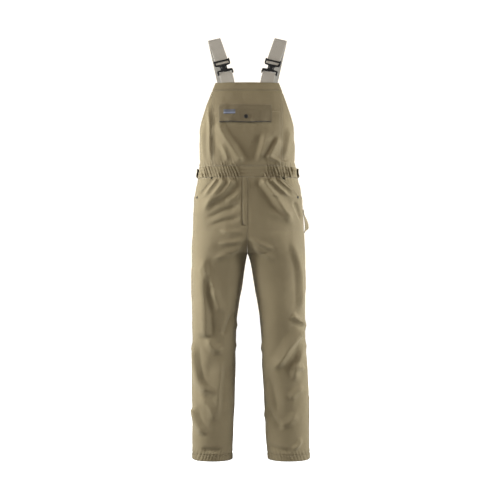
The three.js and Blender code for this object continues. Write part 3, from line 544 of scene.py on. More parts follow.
class Effects:
    """Shader node groups that several finishes share, each made once."""

    made: dict[str, bpy.types.NodeTree] = {}

    @classmethod
    def group(
        cls, name: str, inputs: Sequence[tuple[str, str, object]], outputs: Sequence[str], fill: Callable
    ) -> bpy.types.NodeTree:
        """Make a group, or return it if it is there.

        Args:
            name: The group's name.
            inputs: (name, socket type, default value) of each input.
            outputs: The names of its value outputs.
            fill: Called with the graph, the input node and the output node.

        Returns:
            The group.
        """
        if name in cls.made:
            return cls.made[name]
        tree = bpy.data.node_groups.new(name, "ShaderNodeTree")
        for label, kind, default in inputs:
            socket = tree.interface.new_socket(name=label, in_out="INPUT", socket_type=kind)
            if default is not None:
                socket.default_value = default
        for label in outputs:
            tree.interface.new_socket(name=label, in_out="OUTPUT", socket_type="NodeSocketFloat")
        graph = Graph(tree)
        fill(graph, graph.node("NodeGroupInput"), graph.node("NodeGroupOutput"))
        cls.made[name] = tree
        return tree

    @classmethod
    def twill(cls) -> bpy.types.NodeTree:
        """Return the diagonal weave: Height of the cords, and Shade between them."""

        def fill(g: Graph, given: bpy.types.Node, out: bpy.types.Node) -> None:
            """Build the weave from two crossing waves that wander a little."""
            split = g.node("SeparateXYZ")
            g.feed(split.inputs[0], given.outputs["Cloth"])
            u, v = split.outputs[0], split.outputs[1]
            wander = g.math("MULTIPLY", g.noise(given.outputs["Cloth"], 900.0, 2.0), 1.6)
            turns = g.math("MULTIPLY", given.outputs["Cords per metre"], 2 * math.pi)
            slope = g.math("MULTIPLY", g.math("ADD", u, g.math("MULTIPLY", v, 0.62)), turns)
            cord = g.math("SINE", g.math("ADD", slope, wander))
            cross = g.math(
                "SINE", g.math("MULTIPLY", g.math("SUBTRACT", u, g.math("MULTIPLY", v, 1.6)), turns)
            )
            height = g.math("ADD", g.math("MULTIPLY", cord, 0.38), g.math("MULTIPLY", cross, 0.12))
            fuzz = g.noise(given.outputs["Cloth"], 5200.0, 2.0)
            g.feed(
                out.inputs["Height"], g.math("ADD", g.math("ADD", height, 0.5), g.math("MULTIPLY", fuzz, 0.2))
            )
            g.feed(out.inputs["Shade"], g.span(cord, -1.0, 1.0, 0.0, 1.0))

        inputs = [("Cloth", "NodeSocketVector", None), ("Cords per metre", "NodeSocketFloat", 1300.0)]
        return cls.group("twill weave", inputs, ["Height", "Shade"], fill)

    @classmethod
    def ribs(cls) -> bpy.types.NodeTree:
        """Return knitted elastic: Height of its ribs and lengthways cords, and Shade in its channels."""

        def fill(g: Graph, given: bpy.types.Node, out: bpy.types.Node) -> None:
            """Build the ribs from a wave along the strap and a finer one across it."""
            split = g.node("SeparateXYZ")
            g.feed(split.inputs[0], given.outputs["Cloth"])
            across = g.math("SINE", g.math("MULTIPLY", split.outputs[1], 2 * math.pi / 0.00125))
            along = g.math("SINE", g.math("MULTIPLY", split.outputs[0], 2 * math.pi / 0.0021))
            height = g.math("ADD", g.math("MULTIPLY", across, 0.3), g.math("MULTIPLY", along, 0.2))
            g.feed(out.inputs["Height"], g.math("ADD", height, 0.5))
            g.feed(out.inputs["Shade"], g.span(g.math("ADD", across, along), -1.6, 1.6, 0.0, 1.0))

        return cls.group("elastic ribs", [("Cloth", "NodeSocketVector", None)], ["Height", "Shade"], fill)

    @classmethod
    def wash(cls) -> bpy.types.NodeTree:
        """Return dye that has washed unevenly: Mottle over hand-sized areas, and Fleck in single threads."""

        def fill(g: Graph, given: bpy.types.Node, out: bpy.types.Node) -> None:
            """Build both from noise, the flecks drawn out along the cloth."""
            g.feed(
                out.inputs["Mottle"],
                g.span(g.noise(given.outputs["Place"], 9.0, 5.0, 0.6), 0.3, 0.7, 0.0, 1.0),
            )
            stretch = g.node("Mapping")
            g.feed(stretch.inputs["Vector"], given.outputs["Cloth"])
            stretch.inputs["Scale"].default_value = (1.0, 0.18, 1.0)
            fleck = g.noise(stretch.outputs[0], 1500.0, 2.0, 0.6)
            g.feed(out.inputs["Fleck"], g.span(fleck, 0.35, 0.65, 0.0, 1.0))

        inputs = [("Place", "NodeSocketVector", None), ("Cloth", "NodeSocketVector", None)]
        return cls.group("washed dye", inputs, ["Mottle", "Fleck"], fill)

    @classmethod
    def wear(cls) -> bpy.types.NodeTree:
        """Return rubbed edges: Mask is high where the painted wear is, broken up by noise."""

        def fill(g: Graph, given: bpy.types.Node, out: bpy.types.Node) -> None:
            """Break the painted wear up."""
            patchy = g.span(g.noise(given.outputs["Place"], 210.0, 4.0, 0.65), 0.35, 0.7, 0.25, 1.0)
            g.feed(out.inputs["Mask"], g.math("MULTIPLY", given.outputs["Painted"], patchy))

        inputs = [("Place", "NodeSocketVector", None), ("Painted", "NodeSocketFloat", 0.0)]
        return cls.group("rubbed edges", inputs, ["Mask"], fill)

    @classmethod
    def grain(cls) -> bpy.types.NodeTree:
        """Return a moulded or cast surface: Height of its fine grain, and Haze over larger areas."""

        def fill(g: Graph, given: bpy.types.Node, out: bpy.types.Node) -> None:
            """Build both from noise at two sizes."""
            g.feed(out.inputs["Height"], g.noise(given.outputs["Place"], 2600.0, 3.0, 0.6))
            g.feed(
                out.inputs["Haze"], g.span(g.noise(given.outputs["Place"], 130.0, 4.0), 0.35, 0.65, 0.0, 1.0)
            )

        return cls.group("moulded grain", [("Place", "NodeSocketVector", None)], ["Height", "Haze"], fill)


@dataclass
class FinishBase:
    """What every finish shares: a name, its slot and a started material."""

    name: str
    slot: Slot
    material: bpy.types.Material | None = field(default=None, init=False)

    def get(self) -> bpy.types.Material:
        """Return the material, made on first use."""
        if self.material is None:
            made = bpy.data.materials.new(self.name)
            made.use_nodes = True
            made.node_tree.nodes.clear()
            graph = Graph(made.node_tree)
            shader = graph.node("BsdfPrincipled")
            output = graph.node("OutputMaterial")
            made.node_tree.links.new(shader.outputs[0], output.inputs[0])
            self.fill(graph, shader)
            self.material = made
        return self.material

    def fill(self, g: Graph, shader: bpy.types.Node) -> None:
        """Build the finish's nodes; each finish has its own."""
        raise NotImplementedError

    @staticmethod
    def inputs(g: Graph) -> tuple[bpy.types.NodeSocket, bpy.types.NodeSocket, bpy.types.NodeSocket]:
        """Return (place in the object, place along the cloth, painted wear)."""
        place = g.node("TexCoord").outputs["Object"]
        cloth = g.node("UVMap", uv_map="cloth").outputs[0]
        painted = g.node("Attribute", attribute_name="wear").outputs["Fac"]
        return place, cloth, painted

    @staticmethod
    def use(g: Graph, tree: bpy.types.NodeTree, **values: object) -> bpy.types.Node:
        """Place a shared effect with its inputs, where _ in a name stands for a space."""
        node = g.node("Group", node_tree=tree)
        for key, value in values.items():
            g.feed(node.inputs[key.replace("_", " ")], value)
        return node

    @staticmethod
    def bump(g: Graph, shader: bpy.types.Node, height: object, distance: float, strength: float) -> None:
        """Feed a height into the shader's normal."""
        node = g.node("Bump")
        node.inputs["Distance"].default_value = distance
        node.inputs["Strength"].default_value = strength
        g.feed(node.inputs["Height"], height)
        g.feed(shader.inputs["Normal"], node.outputs[0])


@dataclass
class ClothFinish(FinishBase):
    """Washed cotton twill, or a plain cloth of the same build."""

    deep: tuple[float, float, float] = (0.114, 0.0862, 0.0438)
    pale: tuple[float, float, float] = (0.141, 0.109, 0.059)
    rubbed: tuple[float, float, float] = (0.34, 0.285, 0.195)
    cords: float = 1300.0
    sheen: float = 0.16
    sheen_tint: tuple[float, float, float] = (0.93, 0.88, 0.76)
    relief: float = 0.00016

    def fill(self, g: Graph, shader: bpy.types.Node) -> None:
        """Build the cloth."""
        place, cloth, painted = self.inputs(g)
        wash = self.use(g, Effects.wash(), Place=place, Cloth=cloth)
        weave = self.use(g, Effects.twill(), Cloth=cloth, Cords_per_metre=self.cords)
        wear = self.use(g, Effects.wear(), Place=place, Painted=painted)
        dyed = g.mix(wash.outputs["Mottle"], (*self.deep, 1), (*self.pale, 1))
        flecked = g.mix(g.math("MULTIPLY", wash.outputs["Fleck"], 0.22), dyed, (*self.rubbed, 1))
        shaded = g.mix(g.span(weave.outputs["Shade"], 0.0, 0.5, 0.3, 0.0), flecked, (0.0, 0.0, 0.0, 1))
        rubbed = g.mix(g.math("MULTIPLY", wear.outputs["Mask"], 0.55), shaded, (*self.rubbed, 1))
        g.feed(shader.inputs["Base Color"], rubbed)
        g.feed(shader.inputs["Roughness"], g.span(wash.outputs["Mottle"], 0.0, 1.0, 0.78, 0.9))
        shader.inputs["Specular IOR Level"].default_value = 0.22
        shader.inputs["Sheen Weight"].default_value = self.sheen
        shader.inputs["Sheen Roughness"].default_value = 0.42
        shader.inputs["Sheen Tint"].default_value = (*self.sheen_tint, 1)
        self.bump(g, shader, weave.outputs["Height"], self.relief, 0.75)


@dataclass
class ElasticFinish(FinishBase):
    """Ribbed elastic webbing."""

    deep: tuple[float, float, float] = (0.215, 0.195, 0.168)
    pale: tuple[float, float, float] = (0.305, 0.28, 0.246)

    def fill(self, g: Graph, shader: bpy.types.Node) -> None:
        """Build the webbing."""
        place, cloth, painted = self.inputs(g)
        ribs = self.use(g, Effects.ribs(), Cloth=cloth)
        wash = self.use(g, Effects.wash(), Place=place, Cloth=cloth)
        wear = self.use(g, Effects.wear(), Place=place, Painted=painted)
        base = g.mix(g.span(ribs.outputs["Shade"], 0.0, 1.0, 0.1, 0.9), (*self.deep, 1), (*self.pale, 1))
        dyed = g.mix(g.math("MULTIPLY", wash.outputs["Mottle"], 0.3), base, (*self.deep, 1))
        g.feed(
            shader.inputs["Base Color"],
            g.mix(g.math("MULTIPLY", wear.outputs["Mask"], 0.3), dyed, (0.6, 0.55, 0.48, 1)),
        )
        g.feed(shader.inputs["Roughness"], g.span(wash.outputs["Fleck"], 0.0, 1.0, 0.7, 0.86))
        shader.inputs["Specular IOR Level"].default_value = 0.25
        shader.inputs["Sheen Weight"].default_value = 0.2
        shader.inputs["Sheen Roughness"].default_value = 0.5
        self.bump(g, shader, ribs.outputs["Height"], 0.00022, 0.8)


@dataclass
class HardFinish(FinishBase):
    """Moulded plastic or plated metal, scuffed along its edges."""

    base: tuple[float, float, float] = (0.004, 0.004, 0.005)
    hazed: tuple[float, float, float] = (0.008, 0.008, 0.009)
    scuffed: tuple[float, float, float] = (0.06, 0.06, 0.06)
    metallic: float = 0.0
    gloss: tuple[float, float] = (0.42, 0.58)
    relief: float = 0.00005
    shine: float = 0.14

    def fill(self, g: Graph, shader: bpy.types.Node) -> None:
        """Build the hard surface."""
        place, _, painted = self.inputs(g)
        grain = self.use(g, Effects.grain(), Place=place)
        wear = self.use(g, Effects.wear(), Place=place, Painted=painted)
        base = g.mix(grain.outputs["Haze"], (*self.base, 1), (*self.hazed, 1))
        g.feed(shader.inputs["Base Color"], g.mix(wear.outputs["Mask"], base, (*self.scuffed, 1)))
        g.feed(shader.inputs["Roughness"], g.span(grain.outputs["Haze"], 0.0, 1.0, *self.gloss))
        shader.inputs["Metallic"].default_value = self.metallic
        shader.inputs["Specular IOR Level"].default_value = self.shine
        self.bump(g, shader, grain.outputs["Height"], self.relief, 0.5)


@dataclass
class LabelFinish(FinishBase):
    """A plain woven label: a dark ground with one pale band and a paler edge, and no lettering."""

    ground: tuple[float, float, float] = (0.018, 0.02, 0.032)
    band: tuple[float, float, float] = (0.085, 0.1, 0.16)

    def fill(self, g: Graph, shader: bpy.types.Node) -> None:
        """Build the label from bands across its height."""
        place, cloth, _ = self.inputs(g)
        split = g.node("SeparateXYZ")
        g.feed(split.inputs[0], cloth)
        inside = g.math(
            "MULTIPLY",
            g.math("GREATER_THAN", split.outputs[1], 0.0032),
            g.math("LESS_THAN", split.outputs[1], 0.0068),
        )
        weave = self.use(g, Effects.twill(), Cloth=cloth, Cords_per_metre=2600.0)
        wash = self.use(g, Effects.wash(), Place=place, Cloth=cloth)
        base = g.mix(inside, (*self.ground, 1), (*self.band, 1))
        g.feed(
            shader.inputs["Base Color"],
            g.mix(g.math("MULTIPLY", wash.outputs["Fleck"], 0.12), base, (0.4, 0.4, 0.42, 1)),
        )
        g.feed(shader.inputs["Roughness"], g.span(wash.outputs["Fleck"], 0.0, 1.0, 0.55, 0.7))
        shader.inputs["Sheen Weight"].default_value = 0.25
        self.bump(g, shader, weave.outputs["Height"], 0.0001, 0.6)


@dataclass
class FloorFinish(FinishBase):
    """A plain white studio floor."""

    def fill(self, g: Graph, shader: bpy.types.Node) -> None:
        """Build the floor: slightly uneven paint, so bright that it meets the white of the room."""
        place = g.node("TexCoord").outputs["Object"]
        tone = g.span(g.noise(place, 2.0), 0.3, 0.7, 0.0, 1.0)
        g.feed(shader.inputs["Base Color"], g.mix(tone, (0.42, 0.42, 0.42, 1), (0.46, 0.46, 0.46, 1)))
        g.feed(shader.inputs["Roughness"], g.span(tone, 0.0, 1.0, 0.85, 0.95))
        shader.inputs["Specular IOR Level"].default_value = 0.1
        shader.inputs["Emission Color"].default_value = (1.0, 1.0, 1.0, 1.0)
        g.feed(
            shader.inputs["Emission Strength"],
            g.math("MULTIPLY", g.node("LightPath").outputs["Is Camera Ray"], 1.0),
        )


def worn(kind: type[FinishBase], *details: object) -> FinishBase:
    """Return a dataclass field that starts as a finish of this kind."""
    return field(default_factory=lambda: kind(*details))


@dataclass
class Wardrobe:
    """Every finish on the garment. A cloth's colours are deep, pale and rubbed, then its cords per metre."""

    twill: FinishBase = worn(ClothFinish, "khaki twill", Slot.TWILL)
    lining: FinishBase = worn(
        ClothFinish,
        "pocket lining",
        Slot.LINING,
        (0.13, 0.105, 0.066),
        (0.16, 0.13, 0.085),
        (0.3, 0.25, 0.18),
        1700.0,
    )
    # Sewing thread, partly its own colour and partly painted shade: it is darkened to stand in for the shadow
    # along the seams.
    thread: FinishBase = worn(
        ClothFinish,
        "sewing thread",
        Slot.TWILL,
        (0.034, 0.026, 0.015),
        (0.052, 0.04, 0.024),
        (0.16, 0.13, 0.09),
        4000.0,
        0.15,
    )
    # Dark thread for the leg vent's bartack; the same finish colours the dark cord under the flap, which is
    # painted shadow.
    dark_thread_and_shadow: FinishBase = worn(
        ClothFinish,
        "dark bartack",
        Slot.THREAD,
        (0.012, 0.012, 0.012),
        (0.03, 0.028, 0.026),
        (0.08, 0.07, 0.06),
        3000.0,
        0.1,
    )
    # Painted shade: a darker copy of the khaki twill, used on the pocket flap to stand in for the shade that
    # falls there.
    painted_shade_twill: FinishBase = worn(
        ClothFinish,
        "shaded khaki twill",
        Slot.TWILL,
        (0.084, 0.062, 0.032),
        (0.105, 0.08, 0.043),
        (0.28, 0.235, 0.16),
    )
    elastic: FinishBase = worn(ElasticFinish, "ribbed elastic", Slot.ELASTIC)
    plastic: FinishBase = worn(HardFinish, "black moulded plastic", Slot.PLASTIC)
    metal: FinishBase = worn(
        HardFinish,
        "dark plated metal",
        Slot.METAL,
        (0.007, 0.0065, 0.006),
        (0.013, 0.012, 0.011),
        (0.1, 0.09, 0.08),
        0.2,
        (0.36, 0.5),
    )
    zip_metal: FinishBase = worn(
        HardFinish,
        "zip brass",
        Slot.ZIP,
        (0.42, 0.3, 0.12),
        (0.34, 0.24, 0.1),
        (0.6, 0.48, 0.24),
        1.0,
        (0.28, 0.45),
    )
    label: FinishBase = worn(LabelFinish, "plain woven label", Slot.LABEL)


# ---- Making pieces ----


def frame_metres(points: Array) -> Array:
    """Turn the garment's own millimetres into metres in the frame."""
    return (points + FRAME_SHIFT) * MM


def make_object(
    name: str,
    points: Array,
    faces: Sequence,
    finish: FinishBase,
    uv: Array | None = None,
    wear: Array | None = None,
) -> bpy.types.Object:
    """Make a smooth-shaded object.

    Args:
        name: The piece's name.
        points: Vertices in metres, in the frame.
        faces: Vertex numbers of each face.
        finish: What it is made of.
        uv: A place along the cloth for each vertex, in metres.
        wear: How rubbed each vertex is, from 0 to 1.

    Returns:
        The object, linked to the scene.
    """
    mesh = bpy.data.meshes.new(name)
    mesh.from_pydata(np.asarray(points).tolist(), [], faces if isinstance(faces, list) else faces.tolist())
    count = len(mesh.vertices)
    corners = np.empty(len(mesh.loops), np.int32)
    mesh.loops.foreach_get("vertex_index", corners)
    along = np.asarray(uv if uv is not None else np.asarray(points)[:, [0, 2]], np.float32)
    layer = mesh.uv_layers.new(name="cloth")
    layer.data.foreach_set("uv", along[corners].ravel())
    rubbed = mesh.attributes.new("wear", "FLOAT", "POINT")
    rubbed.data.foreach_set("value", np.asarray(wear if wear is not None else np.zeros(count), np.float32))
    mesh.polygons.foreach_set("use_smooth", np.ones(len(mesh.polygons), bool))
    mesh.materials.append(finish.get())
    mesh.update()
    made = bpy.data.objects.new(name, mesh)
    bpy.context.scene.collection.objects.link(made)
    return made


def spread(length: float, step: float, marks: Sequence[float] = ()) -> Array:
    """Space grid lines along a length, closer at its ends and round each mark.

    Args:
        length: The length in millimetres.
        step: The widest gap between lines.
        marks: Distances from the start that need close lines.

    Returns:
        Shares of the length, from 0 to 1.
    """
    keys = [0.0, 0.4, 1.0, 2.0, length - 2.0, length - 1.0, length - 0.4, length]
    for mark in marks:
        keys += [mark - 1.3, mark - 0.6, mark, mark + 0.6, mark + 1.3]
    keys = sorted(k for k in set(keys) if 0 <= k <= length)
    lines = [keys[0]]
    for low, high in zip(keys[:-1], keys[1:]):
        if high - low < 0.2:
            continue
        parts = max(1, math.ceil((high - low) / step))
        lines += [low + (high - low) * (i + 1) / parts for i in range(parts)]
    lines[-1] = length
    return np.array(lines) / length


def run_lengths(points: Array, axis: int) -> Array:
    """Return the distance along grid lines from their start, over one axis of a grid of points."""
    steps = np.linalg.norm(np.diff(points, axis=axis), axis=-1)
    start = np.zeros_like(np.take(steps, [0], axis=axis))
    return np.concatenate([start, np.cumsum(steps, axis=axis)], axis=axis)


def double_grid_faces(rows: int, columns: int) -> Array:
    """Return the quads of two facing grids joined round their edges; the outer grid's vertices come first."""
    index = np.arange(rows * columns).reshape(rows, columns)
    under = index + rows * columns

    def quads(a: Array, b: Array, c: Array, d: Array) -> Array:
        """Stack four corner arrays into faces."""
        return np.stack([a.ravel(), b.ravel(), c.ravel(), d.ravel()], axis=1)

    outer = quads(index[:-1, :-1], index[:-1, 1:], index[1:, 1:], index[1:, :-1])
    inner = quads(under[:-1, :-1], under[1:, :-1], under[1:, 1:], under[:-1, 1:])
    bottom = quads(under[0, :-1], under[0, 1:], index[0, 1:], index[0, :-1])
    top = quads(index[-1, :-1], index[-1, 1:], under[-1, 1:], under[-1, :-1])
    first = quads(index[:-1, 0], index[1:, 0], under[1:, 0], under[:-1, 0])
    last = quads(under[:-1, -1], under[1:, -1], index[1:, -1], index[:-1, -1])
    return np.vstack([outer, inner, bottom, top, first, last])


def facing_out(points: Array, faces: Array) -> Array:
    """Turn all faces round if the closed mesh they make is inside out."""
    a, b, c, d = (points[faces[:, i]] for i in range(4))
    volume = np.einsum("ij,ij->i", a, np.cross(b, c)).sum() + np.einsum("ij,ij->i", a, np.cross(c, d)).sum()
    return faces if volume > 0 else faces[:, ::-1]


class Edge(Enum):
    """An edge of a cloth piece's grid."""

    START = "start"
    END = "end"
    BOTTOM = "bottom"
    TOP = "top"


@dataclass(frozen=True)
class Row:
    """A row of stitches beside one edge of a piece, in millimetres. low and high are shares of the edge."""

    edge: Edge
    inset: float
    low: float = 0.0
    high: float = 1.0


def rows_along(edges: Sequence[Edge], *insets: float, low: float = 0.0, high: float = 1.0) -> tuple[Row, ...]:
    """Return rows of stitches at each inset beside each edge, over the same share of it."""
    return tuple(Row(edge, inset, low, high) for edge in edges for inset in insets)


@dataclass
class ClothPiece:
    """A sewn piece of cloth that lies on the garment.

    place turns shares across and up into (side, angle, height). outer and inner are its depths: numbers, or
    functions of the shares across and up and of the distance from the nearest edge.
    """

    name: str
    place: Place
    width: float
    height: float
    outer: Lift = 0.0
    inner: Lift = -CLOTH
    step: float = 3.4
    rise_step: float = 4.2
    rows: tuple[Row, ...] = ()
    edge_drop: float = 0.5
    replaces: tuple[str, ...] | None = None
    held: str = "hung"
    finish: str = "twill"
    wear: float = 0.5

    def __post_init__(self) -> None:
        """Start with no grid; build fills it."""
        self.face: Array | None = None
        self.out: Array | None = None
        self.distances: dict[Edge, Array] = {}

    def build(self, garment: Garment, wardrobe: Wardrobe) -> bpy.types.Object:
        """Args:
            garment: The surface it lies on.
            wardrobe: The finishes.

        Returns:
            The object, which still has to ride on a body.
        """
        across = [
            r.inset if r.edge is Edge.START else self.width - r.inset
            for r in self.rows if r.edge in (Edge.START, Edge.END)
        ]
        up = [
            r.inset if r.edge is Edge.BOTTOM else self.height - r.inset
            for r in self.rows if r.edge in (Edge.BOTTOM, Edge.TOP)
        ]
        columns = spread(self.width, self.step, across)
        lines = spread(self.height, self.rise_step, up)
        s, t = np.meshgrid(columns, lines)
        side, psi, z = self.place(s, t)
        middle, normals = garment.lay(side, psi, z)
        from_start = run_lengths(middle, 1)
        from_bottom = run_lengths(middle, 0)
        from_end = from_start[:, -1:] - from_start
        from_top = from_bottom[-1:, :] - from_bottom
        near = np.minimum(np.minimum(from_start, from_end), np.minimum(from_bottom, from_top))
        outer = self.outer(s, t, near) if callable(self.outer) else np.full(s.shape, float(self.outer))
        inner = self.inner(s, t, near) if callable(self.inner) else np.full(s.shape, float(self.inner))
        drop = np.minimum(self.edge_drop, 0.45 * (outer - inner))
        outer = outer - drop * np.exp(-((near / 0.75) ** 2))
        distances = {Edge.START: from_start, Edge.END: from_end, Edge.BOTTOM: from_bottom, Edge.TOP: from_top}
        for row in self.rows:
            run = t if row.edge in (Edge.START, Edge.END) else s
            held = (run >= row.low - 0.001) & (run <= row.high + 0.001)
            outer = outer - 0.24 * held * np.exp(-(((distances[row.edge] - row.inset) / 0.8) ** 2))
        self.face = middle + normals * outer[..., None]
        self.out = normals
        under = middle + normals * inner[..., None]
        points = np.vstack([self.face.reshape(-1, 3), under.reshape(-1, 3)])
        uv = np.stack([from_start, from_bottom], axis=-1).reshape(-1, 2) * MM
        rubbed = self.wear * np.exp(-((near / 2.2) ** 2)).ravel()
        faces = facing_out(points, double_grid_faces(*s.shape))
        made = make_object(
            self.name,
            frame_metres(points),
            faces,
            getattr(wardrobe, self.finish),
            np.vstack([uv, uv]),
            np.concatenate([rubbed, rubbed * 0.3]),
        )
        self.distances = distances
        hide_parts(*(self.replaces or (self.name,)))
        return made

    def stitch_lines(self) -> list[tuple[Array, Array]]:
        """Return (points, outward directions) along each row of stitches."""
        lines = []
        for row in self.rows:
            distance = self.distances[row.edge]
            upright = row.edge in (Edge.START, Edge.END)
            face = self.face if upright else np.swapaxes(self.face, 0, 1)
            out = self.out if upright else np.swapaxes(self.out, 0, 1)
            away = distance if upright else distance.T
            if row.edge in (Edge.END, Edge.TOP):
                face, out, away = face[:, ::-1], out[:, ::-1], away[:, ::-1]
            count = len(face)
            first, last = round(row.low * (count - 1)), round(row.high * (count - 1))
            points, outs = [], []
            for j in range(first, last + 1):
                if away[j, -1] < row.inset:
                    continue
                points.append([np.interp(row.inset, away[j], face[j, :, k]) for k in range(3)])
                outs.append([np.interp(row.inset, away[j], out[j, :, k]) for k in range(3)])
            if len(points) > 2:
                lines.append((np.array(points), np.array(outs)))
        return lines


# Rings of a stitch: each one's share of the length from the middle, and its size.
STITCH_RINGS = ((-0.5, 0.35), (-0.3, 1.0), (0.0, 1.1), (0.3, 1.0), (0.5, 0.35))
STITCH_SIDES = 5


@dataclass
class Stitching:
    """Rows of thread, one object for each body they are sewn to. Sizes are in millimetres."""

    name: str
    pitch: float = 3.1
    length: float = 2.35
    thick: float = 0.42
    lines: list[tuple[Array, Array]] = field(default_factory=list)

    def sew(self, finish: FinishBase, body: str) -> bpy.types.Object | None:
        """Make every stitch on the gathered lines.

        Args:
            finish: The thread's finish.
            body: The body that the stitches ride on.

        Returns:
            The object, or None where there are no lines.
        """
        centres, alongs, outs = [], [], []
        for points, normals in self.lines:
            run = np.concatenate([[0.0], np.cumsum(np.linalg.norm(np.diff(points, axis=0), axis=1))])
            at = np.arange(self.pitch, run[-1] - self.pitch * 0.6, self.pitch)
            if len(at) < 1:
                continue
            half = self.length / 2
            here = [
                np.stack([np.interp(at + d, run, points[:, k]) for k in range(3)], axis=1)
                for d in (-half, 0, half)
            ]
            normal = np.stack([np.interp(at, run, normals[:, k]) for k in range(3)], axis=1)
            centres.append(here[1])
            alongs.append(here[2] - here[0])
            outs.append(normal)
        if not centres:
            return None
        centre, along, out = (np.vstack(v) for v in (centres, alongs, outs))
        along = along / np.linalg.norm(along, axis=1, keepdims=True)
        out = out - along * np.einsum("ij,ij->i", out, along)[:, None]
        out = out / np.linalg.norm(out, axis=1, keepdims=True)
        across = np.cross(along, out)
        rings = []
        sides = STITCH_SIDES
        for share, size in STITCH_RINGS:
            for k in range(sides):
                angle = 2 * math.pi * k / sides
                offset = along * (share * self.length) + across * (math.cos(angle) * size * self.thick)
                lift = math.sin(angle) * size * self.thick * 0.8 + 0.14 - 0.35 * (abs(share) > 0.45)
                rings.append(centre + offset + out * lift)
        count = len(centre)
        points = np.stack(rings, axis=1).reshape(-1, 3)
        faces: list[list[int]] = []
        last = sides * (len(STITCH_RINGS) - 1)
        pattern = [
            [ring + k, ring + (k + 1) % sides, ring + sides + (k + 1) % sides, ring + sides + k]
            for ring in range(0, last, sides)
            for k in range(sides)
        ]
        caps = [list(range(sides))[::-1], list(range(last, last + sides))]
        for i in range(count):
            base = i * sides * len(STITCH_RINGS)
            faces += [[base + v for v in f] for f in pattern + caps]
        made = make_object(self.name, frame_metres(points), faces, finish)
        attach(made, body)
        return made


@dataclass
class Axes:
    """A local frame: its origin in the garment's millimetres, and three unit directions."""

    origin: Array
    x: Array
    y: Array
    z: Array

    def put(self, points: Array) -> Array:
        """Return local points as garment millimetres."""
        return self.origin + points @ np.array([self.x, self.y, self.z])


def unit(v: Array) -> Array:
    """Return a vector at length 1."""
    return v / np.linalg.norm(v)


